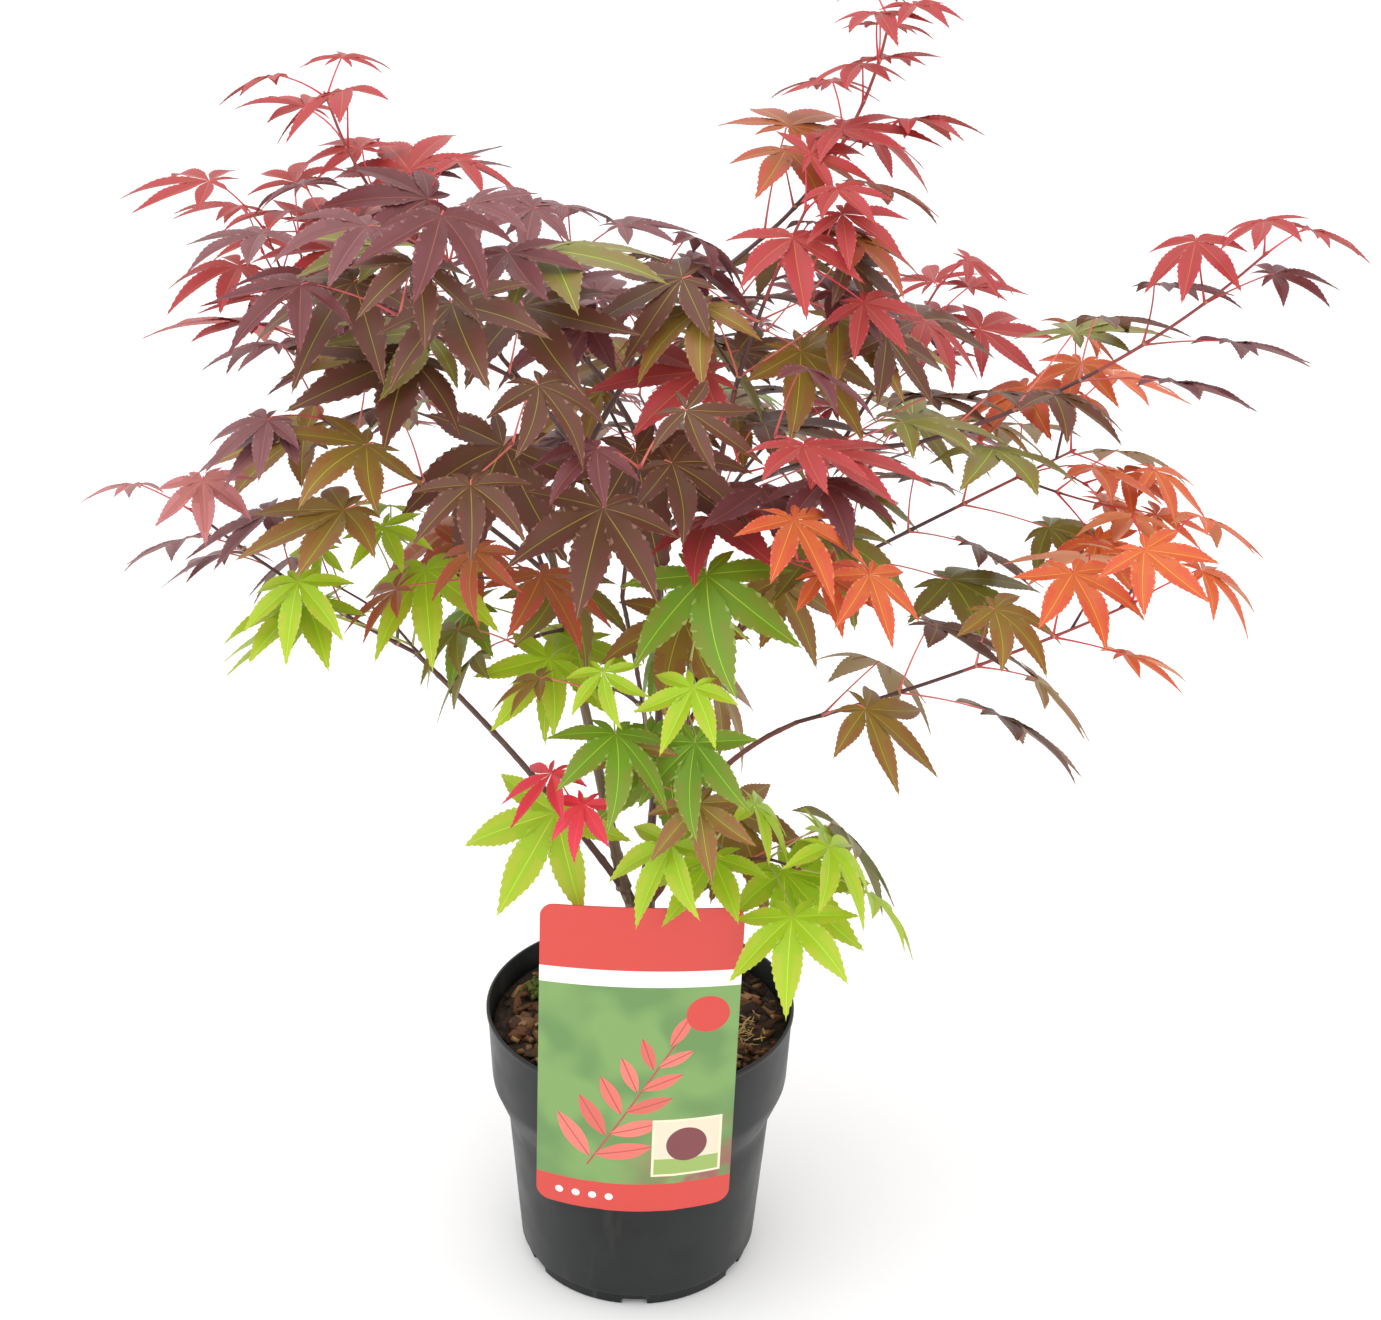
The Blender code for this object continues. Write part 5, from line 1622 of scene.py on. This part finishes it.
@dataclass
class Limbs:
    """The trunk, stems and boughs, with the relief of their bark, their collars and their leaf scars."""

    growth: Growth
    step: float = 0.0022
    resolution: int = 5
    rooting: float = 0.6  # how far a limb's foot is drawn into its parent
    scar_gap: float = 0.043  # between pairs of old leaf scars
    first_scar: tuple[float, float] = (0.3, 0.9)
    next_scar: tuple[float, float] = (0.8, 1.25)
    scar_half: float = 0.0016
    scar_swell: float = 0.16
    collar_reach: float = 0.006
    collar_swell: float = 0.45
    relief: float = 0.00022
    ridge_size: float = 0.0035
    weld: float = 0.00001
    uv_per_metre: float = 10.0
    seed: int = 12

    def bark_of(self, name: str) -> Bark:
        """Choose a limb's bark by the stem that carries it."""
        chain = [name]
        while self.growth.limbs[chain[-1]].parent:
            chain.append(self.growth.limbs[chain[-1]].parent)
        if "right_stem" in chain or "right_fork" in chain:
            return Bark.RED_BROWN
        if name in ("left_fork", "left_stem"):
            return Bark.STRIPED
        return Bark.DARK

    def limb(self, name: str, rng: random.Random) -> bpy.types.Object:
        """Shape one limb from a path curve with the section of its age, as a mesh."""
        spec, path = self.growth.limbs[name], self.growth.paths[name]
        points, shares = smooth_path(path, self.step)
        if spec.parent:
            points[0] = points[0].lerp(self.growth_axis(spec), self.rooting)
        length = spec.length / 1000
        phase = rng.uniform(*self.first_scar) * self.scar_gap
        scars = []
        while phase < length:
            scars.append(phase)
            phase += self.scar_gap * rng.uniform(*self.next_scar)
        deselect_all()
        bpy.ops.curve.primitive_nurbs_path_add(radius=1, location=(0, 0, 0))
        thing = active()
        curve = thing.data
        curve.splines.clear()
        spline = curve.splines.new("POLY")
        spline.points.add(len(points) - 1)
        for spot, point, share in zip(spline.points, points, shares):
            run = share * length
            radius = radius_at(spec, share)
            swell = sum(math.exp(-(((run - scar) / self.scar_half) ** 2)) for scar in scars)
            swell *= self.scar_swell
            if spec.parent:
                swell += self.collar_swell * math.exp(-run / self.collar_reach)
            spot.co = (*point, 1)
            spot.radius = radius * (1 + swell)
        curve.bevel_depth = 1.0
        curve.bevel_resolution = self.resolution
        curve.use_fill_caps = True
        bpy.ops.object.convert(target="MESH")
        thing = active()
        layer = thing.data.uv_layers[0].data
        uv = np.zeros(len(layer) * 2, np.float32)
        layer.foreach_get("uv", uv)
        uv = uv.reshape(-1, 2)
        uv[:, 1] *= length * self.uv_per_metre
        layer.foreach_set("uv", uv.ravel())
        return thing

    def growth_axis(self, spec: LimbSpec) -> Vector:
        """Give the point of the parent's middle line that a limb springs from."""
        return along(self.growth.paths[spec.parent], spec.at)[0]

    def build(self) -> list[bpy.types.Object]:
        """Shape every limb, join those of one bark, and give them their relief."""
        rng = random.Random(self.seed)
        groups: dict[Bark, list[bpy.types.Object]] = {kind: [] for kind in Bark}
        names: dict[Bark, list[str]] = {kind: [] for kind in Bark}
        for name in self.growth.paths:
            kind = self.bark_of(name)
            groups[kind].append(self.limb(name, rng))
            names[kind].append(name)
        ridges = bpy.data.textures.new("bark_ridges", "CLOUDS")
        ridges.noise_scale = self.ridge_size
        made = []
        for kind, things in groups.items():
            stems = join(things, f"stems_{kind.value}")
            modify(stems, "DISPLACE", texture=ridges, strength=2 * self.relief, mid_level=0.5)
            use(stems)
            bpy.ops.object.mode_set(mode="EDIT")
            bpy.ops.mesh.select_all(action="SELECT")
            bpy.ops.mesh.remove_doubles(threshold=self.weld)
            bpy.ops.mesh.normals_make_consistent(inside=False)
            bpy.ops.object.mode_set(mode="OBJECT")
            smooth(stems, degrees=55)
            stems.data.materials.clear()
            stems.data.materials.append(BARKS[kind].material())
            made.append(report(stems, "bark", *names[kind]))
        return made


class Zone(Enum):
    """The parts of a blade that have a colour of their own, as slots of their piece."""

    MARGIN = 0
    HEART = 1
    RIB = 2
    UNDER = 3


@dataclass
class BladePattern:
    """One toothed, many-lobed blade laid flat, in units of its middle lobe."""

    teeth: int = 11
    basal_teeth: int = 4
    basal_angle: float = 138
    basal_length: float = 0.34
    toothed_from: float = 0.20
    toothed_to: float = 0.955
    tooth: float = 0.0165
    notch: float = 0.004
    rib: float = 0.0050
    rib_taper: float = 0.6
    rib_most: float = 0.3  # of half the lobe's width
    rib_height: float = 0.001
    edge_least: float = 0.6  # of half the lobe's width, where it is notched
    edge_height: float = -0.002
    crease: float = 0.36  # where the upper face's crease lies between rib and edge
    ripple: float = 0.0035
    tooth_at: float = 0.72  # where a tooth's tip lies between two notches
    tooth_taper: float = 0.35
    heart_to: float = 0.36  # how far up a lobe the heart's colour reaches its margin
    heart_rib_to: float = 0.78  # how far up a lobe it follows the rib
    thick: float = 0.006
    width_range: tuple[float, float] = (0.88, 1.06)
    fold_range: tuple[float, float] = (0.10, 0.34)
    young_width: float = 0.12  # how much narrower the youngest leaf is
    young_fold: float = 0.25  # how much more it is folded
    wave_range: tuple[float, float] = (0.02, 0.07)
    wave_count: float = 9
    wave_shift: float = 1.3
    turn_stray: float = 3  # degrees
    sweep_stray: float = 0.09
    sweep_power: float = 2.2
    hook_range: tuple[float, float] = (0.0, 0.16)
    tip_flatter: float = 0.3
    profile: tuple = (
        (0, 0), (0.147, 0.0760), (0.26, 0.134), (0.34, 0.155), (0.42, 0.165), (0.50, 0.166), (0.58, 0.156),
        (0.68, 0.128), (0.78, 0.087), (0.87, 0.046), (0.93, 0.021), (1, 0),
    )

    def __post_init__(self) -> None:
        """Lay out every lobe."""
        self.rows: list[tuple] = []  # along, across, height, lobe, angle, length
        self.loops: list[int] = []
        self.totals: list[int] = []
        self.zones: list[int] = []
        lobes = [(a, l, i, self.teeth) for i, (a, l) in enumerate(zip(LOBE_ANGLES, LOBE_LENGTHS))]
        lobes.append((-self.basal_angle, self.basal_length, 0, self.basal_teeth))
        lobes.append((self.basal_angle, self.basal_length, len(LOBE_ANGLES) - 1, self.basal_teeth))
        for angle, length, index, teeth in lobes:
            self.lay_lobe(math.radians(angle), length, index, teeth)
        table = np.array(self.rows)
        self.s, self.t, self.h = table[:, 0], table[:, 1], table[:, 2]
        self.lobe, self.angle, self.length = table[:, 3].astype(int), table[:, 4], table[:, 5]

    def width_at(self, s: float) -> float:
        """Give half the lobe's width at a share of its length."""
        return float(np.interp(s, [p[0] for p in self.profile], [p[1] for p in self.profile]))

    def face(self, zone: Zone, *verts: int) -> None:
        """Add a face of a zone."""
        self.loops += verts
        self.totals.append(len(verts))
        self.zones.append(zone.value)

    def lay_lobe(self, angle: float, length: float, index: int, teeth: int) -> None:
        """Lay out one closed lobe: its rib, both halves of its upper face, its teeth and its underside.

        Args:
            angle: the lobe's turn from the middle one.
            length: its length.
            index: which lobe's droop it follows.
            teeth: how many teeth each side has.
        """

        def point(s: float, t: float, h: float) -> int:
            self.rows.append((s, t, h, index, angle, length))
            return len(self.rows) - 1

        span = (self.toothed_to - self.toothed_from) / teeth
        stations = [self.profile[1][0], *(self.toothed_from + span * k for k in range(teeth + 1))]
        root = point(0, 0, 0)
        rings, tips = [], []
        for k, s in enumerate(stations):
            wide, ripple = self.width_at(s), self.ripple * (-1) ** k
            cut = self.notch if k > 1 else 0.0
            rib = min(self.rib * (1 - self.rib_taper * s), wide * self.rib_most)
            edge = max(wide - cut, wide * self.edge_least)
            crease = rib + (edge - rib) * self.crease
            rows = ((rib, self.rib_height), (crease, ripple), (edge, self.edge_height))
            ring = [point(s, side * across, height) for across, height in rows for side in (1, -1)]
            rings.append([*ring, point(s, 0, -self.thick)])
            if 0 < k < len(stations) - 1:
                tip = s + span * self.tooth_at
                reach = self.width_at(tip) + self.tooth * (1 - self.tooth_taper * tip)
                tips.append((point(tip, reach, self.edge_height), point(tip, -reach, self.edge_height)))
        end = point(1, 0, 0)
        for k, (low, high) in enumerate(zip(rings, rings[1:])):
            rib_l, rib_r, mid_l, mid_r, edge_l, edge_r, under = low
            next_l, next_r, high_l, high_r, far_l, far_r, beneath = high
            left = (tips[k - 1][0],) if k > 0 else ()
            right = (tips[k - 1][1],) if k > 0 else ()
            inner = Zone.HEART if stations[k] < self.heart_rib_to else Zone.MARGIN
            outer = Zone.HEART if stations[k] < self.heart_to else Zone.MARGIN
            self.face(Zone.RIB, rib_r, next_r, next_l, rib_l)
            self.face(inner, rib_l, next_l, high_l, mid_l)
            self.face(inner, mid_r, high_r, next_r, rib_r)
            self.face(outer, mid_l, high_l, far_l, *left, edge_l)
            self.face(outer, edge_r, *right, far_r, high_r, mid_r)
            self.face(Zone.UNDER, under, edge_l, *left, far_l, beneath)
            self.face(Zone.UNDER, beneath, far_r, *right, edge_r, under)
        for ring, tip, flip in ((rings[0], root, True), (rings[-1], end, False)):
            rib_l, rib_r, mid_l, mid_r, edge_l, edge_r, under = ring
            flesh = Zone.HEART if flip else Zone.MARGIN
            for zone, *corners in (
                (Zone.RIB, rib_r, tip, rib_l),
                (flesh, rib_l, tip, mid_l),
                (flesh, mid_r, tip, rib_r),
                (flesh, mid_l, tip, edge_l),
                (flesh, edge_r, tip, mid_r),
                (Zone.UNDER, under, edge_l, tip),
                (Zone.UNDER, under, tip, edge_r),
            ):
                self.face(zone, *(reversed(corners) if flip else corners))

    def place(self, leaf: Leaf, rng: random.Random) -> np.ndarray:
        """Bend the pattern into one leaf's blade.

        Args:
            leaf: the leaf.
            rng: draws its width, its fold and the waves of its margin.

        Returns:
            The places of the pattern's vertices.
        """
        width = rng.uniform(*self.width_range) * (1 - self.young_width * leaf.young)
        fold = rng.uniform(*self.fold_range) + self.young_fold * leaf.young
        wave, phase = rng.uniform(*self.wave_range), rng.uniform(0, math.tau)
        turns = np.array([math.radians(stray(rng, self.turn_stray)) for _ in LOBE_ANGLES])
        sweeps = np.array([stray(rng, self.sweep_stray) for _ in LOBE_ANGLES])
        hooks = np.array([rng.uniform(*self.hook_range) for _ in LOBE_ANGLES])
        droops = np.array(leaf.lobes)[self.lobe]
        angle = self.angle + turns[self.lobe]
        t = self.t * width + sweeps[self.lobe] * self.s**self.sweep_power
        cos, sin = np.cos(angle), np.sin(angle)
        x = self.length * (self.s * cos - t * sin)
        y = self.length * (self.s * sin + t * cos)
        reach = np.hypot(x, y)
        turn = leaf.swirl * reach**2
        flat_x = x * np.cos(turn) - y * np.sin(turn)
        flat_y = x * np.sin(turn) + y * np.cos(turn)
        waves = self.wave_count * self.s + phase + np.sign(self.t) * self.wave_shift
        folded = (np.abs(self.t) * width * fold + wave * self.t * np.sin(waves)) * self.length
        rise = self.h + folded * (1 - self.tip_flatter * self.s)
        rise -= leaf.hang * droops * reach**CURL + hooks[self.lobe] * self.s**4 * self.length
        middle, across, up = (np.array(axis) for axis in leaf.axes)
        flat = np.outer(flat_x, middle) + np.outer(flat_y, across) + np.outer(rise, up)
        return np.array(leaf.centre) + flat * leaf.length


@dataclass
class TubeStore:
    """Gathers thin tubes of one kind into the arrays of one mesh."""

    sides: int
    places: list = field(default_factory=list)
    loops: list = field(default_factory=list)
    totals: list = field(default_factory=list)
    slots: list = field(default_factory=list)
    count: int = 0

    def add(self, points: list[Vector], radii: list[float], slot: int) -> None:
        """Add a closed tube in the colour of a slot."""
        verts, faces = tube(points, radii, self.sides)
        self.places.append(np.array(verts))
        for face in faces:
            self.loops += [self.count + i for i in face]
            self.totals.append(len(face))
            self.slots.append(slot)
        self.count += len(verts)

    def piece(self, name: str, finishes: list[PlainFinish]) -> bpy.types.Object:
        """Make the piece and give each slot its finish."""
        mesh = mesh_of_arrays(name, np.concatenate(self.places), self.loops, self.totals, self.slots)
        piece = piece_of_mesh(mesh, finishes)
        smooth(piece, degrees=50)
        return piece


@dataclass
class Foliage:
    """All twigs, stalks, buds and blades of the crown, each kind joined in pieces of like colour."""

    growth: Growth
    pattern: BladePattern = field(default_factory=BladePattern)
    upper_roughness: float = 0.46
    under_roughness: float = 0.6
    specular: float = 0.4
    twig_step: float = 0.003
    rooting: float = 0.8  # how far a twig's foot is drawn into its limb
    short_twig: float = 0.72  # thickness of a twig with fewer than three pairs, as a share
    twig_taper: float = 0.42
    node_swell: float = 0.35
    scar: tuple[float, float] = (0.0009, 0.0004)  # half a scar's length, and half its broadest part
    scar_width: float = 1.42
    scar_end: float = 0.8
    bud: tuple = ((-0.0006, 0.0007), (0.0006, 0.0011), (0.0018, 0.0008), (0.0030, 0.0001))
    stalk_steps: int = 6
    stalk_bow: tuple[float, float] = (0.02, 0.07)
    stalk_sink: float = 0.004  # how far below the blade a stalk ends, in leaf lengths
    stalk_radii: tuple = (0.00085, 0.00062, 0.00052, 0.00048, 0.00046, 0.00046, 0.0005, 0.00055)
    families: tuple = (
        ("leaves_maroon", (Tint.MAROON, Tint.PURPLE, Tint.DUSKY)),
        ("leaves_brown", (Tint.BROWN, Tint.BRONZE)),
        ("leaves_green", (Tint.OLIVE, Tint.GREEN, Tint.LIME)),
        ("leaves_red", (Tint.ORANGE, Tint.RUST, Tint.RED, Tint.CRIMSON)),
    )
    twig_finishes: tuple = (
        PlainFinish("twig_purple_brown", (92, 58, 58), 0.5),
        PlainFinish("twig_red", (158, 70, 66), 0.45),
        PlainFinish("twig_green_brown", (112, 104, 68), 0.5),
        PlainFinish("twig_scar", (186, 138, 100), 0.6),
    )
    stalk_finishes: tuple = (
        PlainFinish("stalk_red", (196, 84, 84), 0.42),
        PlainFinish("stalk_pink", (222, 112, 104), 0.42),
        PlainFinish("stalk_yellow_green", (176, 178, 92), 0.42),
        PlainFinish("stalk_bright_red", (214, 62, 76), 0.42),
    )

    def build(self) -> list[bpy.types.Object]:
        """Make the blades, the twigs with their buds, and the stalks."""
        masses = [mass.name for mass in MASSES]
        made = [self.build_blades(name, tints) for name, tints in self.families]
        made += [self.build_twigs(), self.build_stalks()]
        return [report(piece, "foliage", *masses) for piece in made]

    def build_blades(self, name: str, tints: tuple[Tint, ...]) -> bpy.types.Object:
        """Join the blades of one family of tints, with a plain colour for each zone of each tint."""
        pattern, count = self.pattern, 0
        places, loops, totals, slots = [], [], [], []
        base_loops, base_totals, base_zones = map(np.array, (pattern.loops, pattern.totals, pattern.zones))
        for spray in self.growth.sprays:
            for i, leaf in enumerate(spray.leaves):
                if Tint(leaf.tint) not in tints:
                    continue
                rng = random.Random(f"{spray.spec.name} {i}")
                places.append(pattern.place(leaf, rng))
                loops.append(base_loops + count)
                totals.append(base_totals)
                slots.append(base_zones + len(Zone) * tints.index(Tint(leaf.tint)))
                count += len(pattern.rows)
        finishes = [finish for tint in tints for finish in self.leaf_finishes(tint)]
        mesh = mesh_of_arrays(name, *(np.concatenate(rows) for rows in (places, loops, totals, slots)))
        piece = piece_of_mesh(mesh, finishes)
        smooth(piece, degrees=55)
        return piece

    def leaf_finishes(self, tint: Tint) -> list[PlainFinish]:
        """List the finishes of a tint's zones."""
        colours = LEAF_COLOURS[tint]
        finishes = []
        for zone, colour in zip(Zone, (colours.margin, colours.heart, colours.rib, colours.under)):
            rough = self.under_roughness if zone is Zone.UNDER else self.upper_roughness
            finishes.append(PlainFinish(f"{tint.value}_{zone.name.lower()}", colour, rough, self.specular))
        return finishes

    def twig_slot(self, spray: Spray) -> int:
        """Choose a twig's colour by the leaves at its tip."""
        tip = spray.spec.tints[-1]
        if tip in ("crimson", "red", "orange"):
            return 1
        return 2 if tip in ("green", "lime") else 0

    def build_twigs(self) -> bpy.types.Object:
        """Make the twigs, swollen at their nodes, with their scars and tip buds."""
        store = TubeStore(8)
        for spray in self.growth.sprays:
            mass, path = spray.spec, [p.copy() for p in spray.path]
            limb = self.growth.paths.get(mass.parent)
            anchor = along(limb, mass.at)[0] if limb else path[0]
            path[0] = path[0].lerp(anchor, self.rooting)
            points, shares = smooth_path(path, self.twig_step)
            thin = TWIG_RADIUS * (self.short_twig if len(spray.nodes) < 3 else 1.0)
            radii = []
            for share in shares:
                swell = sum(math.exp(-(((share - node) * mass.length / 2.0) ** 2)) for node in spray.nodes)
                swell = 1 + self.node_swell * min(1.0, swell)
                radii.append(thin * (1.0 - self.twig_taper * share) * swell)
            slot = self.twig_slot(spray)
            half = len(points) // 2
            store.add(points[: half + 1], radii[: half + 1], 0 if slot == 1 else slot)
            store.add(points[half:], radii[half:], slot)
            end, broad = self.scar
            for node in spray.nodes[:-1]:
                spot, way = along(path, node)
                wide = thin * (1.0 - self.twig_taper * node) * self.scar_width
                ring = [spot + way * run for run in (-end, -broad, broad, end)]
                store.add(ring, [wide * self.scar_end, wide, wide, wide * self.scar_end], 3)
            tip, way = points[-1], (points[-1] - points[-2]).normalized()
            store.add([tip + way * run for run, _ in self.bud], [radius for _, radius in self.bud], 1)
        return store.piece("twigs", list(self.twig_finishes))

    def build_stalks(self) -> bpy.types.Object:
        """Make the leaf stalks: slightly bowed, swollen at the twig, and ending under the blade."""
        store = TubeStore(6)
        slots = dict.fromkeys(("olive", "brown", "bronze"), 1)
        slots |= dict.fromkeys(("lime", "green"), 2)
        slots |= dict.fromkeys(("orange", "crimson", "red"), 3)
        for spray in self.growth.sprays:
            for i, leaf in enumerate(spray.leaves):
                rng = random.Random(f"stalk {spray.spec.name} {i}")
                foot, end = leaf.stalk
                bow = Vector((rng.uniform(-1, 1), rng.uniform(-1, 1), rng.uniform(0.2, 1.4))).normalized()
                bow *= (end - foot).length * rng.uniform(*self.stalk_bow)
                shares = [k / self.stalk_steps for k in range(self.stalk_steps + 1)]
                spots = [foot.lerp(end, share) + bow * math.sin(math.pi * share) for share in shares]
                spots.append(leaf.centre - leaf.axes[2] * leaf.length * self.stalk_sink)
                store.add(spots, list(self.stalk_radii), slots.get(leaf.tint, 0))
        return store.piece("leaf_stalks", list(self.stalk_finishes))


@dataclass
class Studio:
    """A plain pale floor, soft light from all round and above, and the camera."""

    focal: float = 2537.0  # in widths of a dot of the 1381-dot frame
    frame_width: int = 1381
    pitch: float = 25.88
    roll: float = 1.24
    place: tuple[float, float, float] = (0.0264, -1.319, 1.053)
    world_light: float = 1.16
    floor_size: float = 14.0

    def build_camera(self) -> None:
        """Set the camera at its place, looking down at the plant."""
        bpy.ops.object.camera_add(location=self.place)
        camera = active()
        camera.name = "camera"
        pitch, roll = math.radians(self.pitch), math.radians(self.roll)
        ahead = Vector((0, math.cos(pitch), -math.sin(pitch)))
        right = Vector((1, 0, 0))
        up = right.cross(ahead)
        across = right * math.cos(roll) + up * math.sin(roll)
        over = up * math.cos(roll) - right * math.sin(roll)
        camera.matrix_world = Matrix(
            [(*row, spot) for row, spot in zip(zip(across, over, -ahead), self.place)] + [(0, 0, 0, 1)]
        )
        camera.data.sensor_width = 36.0
        camera.data.lens = self.focal / self.frame_width * 36.0
        camera.data.clip_start, camera.data.clip_end = 0.05, 60.0
        bpy.context.scene.camera = camera

    def build_light(self) -> None:
        """Light the room evenly, with one broad soft lamp above and one in front."""
        scene = bpy.context.scene
        world = bpy.data.worlds.new("studio")
        scene.world = world
        world.use_nodes = True
        backdrop = world.node_tree.nodes["Background"]
        backdrop.inputs["Color"].default_value = (1, 1, 1, 1)
        backdrop.inputs["Strength"].default_value = self.world_light
        for name, place, size, power in (
            ("lamp_above", (-0.6, -0.5, 2.6), 2.4, 20.0),
            ("lamp_front", (1.2, -2.6, 1.7), 1.8, 10.0),
        ):
            bpy.ops.object.light_add(type="AREA", location=place)
            lamp = active()
            lamp.name = name
            lamp.rotation_euler = (Vector((0, 0, 0.45)) - Vector(place)).to_track_quat("-Z", "Y").to_euler()
            lamp.data.size = size
            lamp.data.energy = power
        scene.view_settings.view_transform = "Standard"
        scene.view_settings.look = "None"

    def build_floor(self) -> None:
        """Lay the floor."""
        deselect_all()
        bpy.ops.mesh.primitive_plane_add(size=self.floor_size)
        floor = settle(active(), "studio_floor")
        floor.data.materials.append(PlainFinish("studio_floor", (254, 254, 254), 0.9, 0.1).material())


def main() -> None:
    """Build the studio and the plant."""
    logging.basicConfig(level=logging.INFO, format="%(name)s: %(message)s")
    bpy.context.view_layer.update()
    studio = Studio()
    studio.build_camera()
    studio.build_light()
    studio.build_floor()
    Pot().build()
    GrowingMix().build_ground()
    GrowingMix().build_chips()
    Label().build()
    growth = Growth()
    LOG.info("leaves: %d", sum(len(spray.leaves) for spray in growth.sprays))
    Limbs(growth).build()
    Foliage(growth).build()


if __name__ == "__main__":
    main()
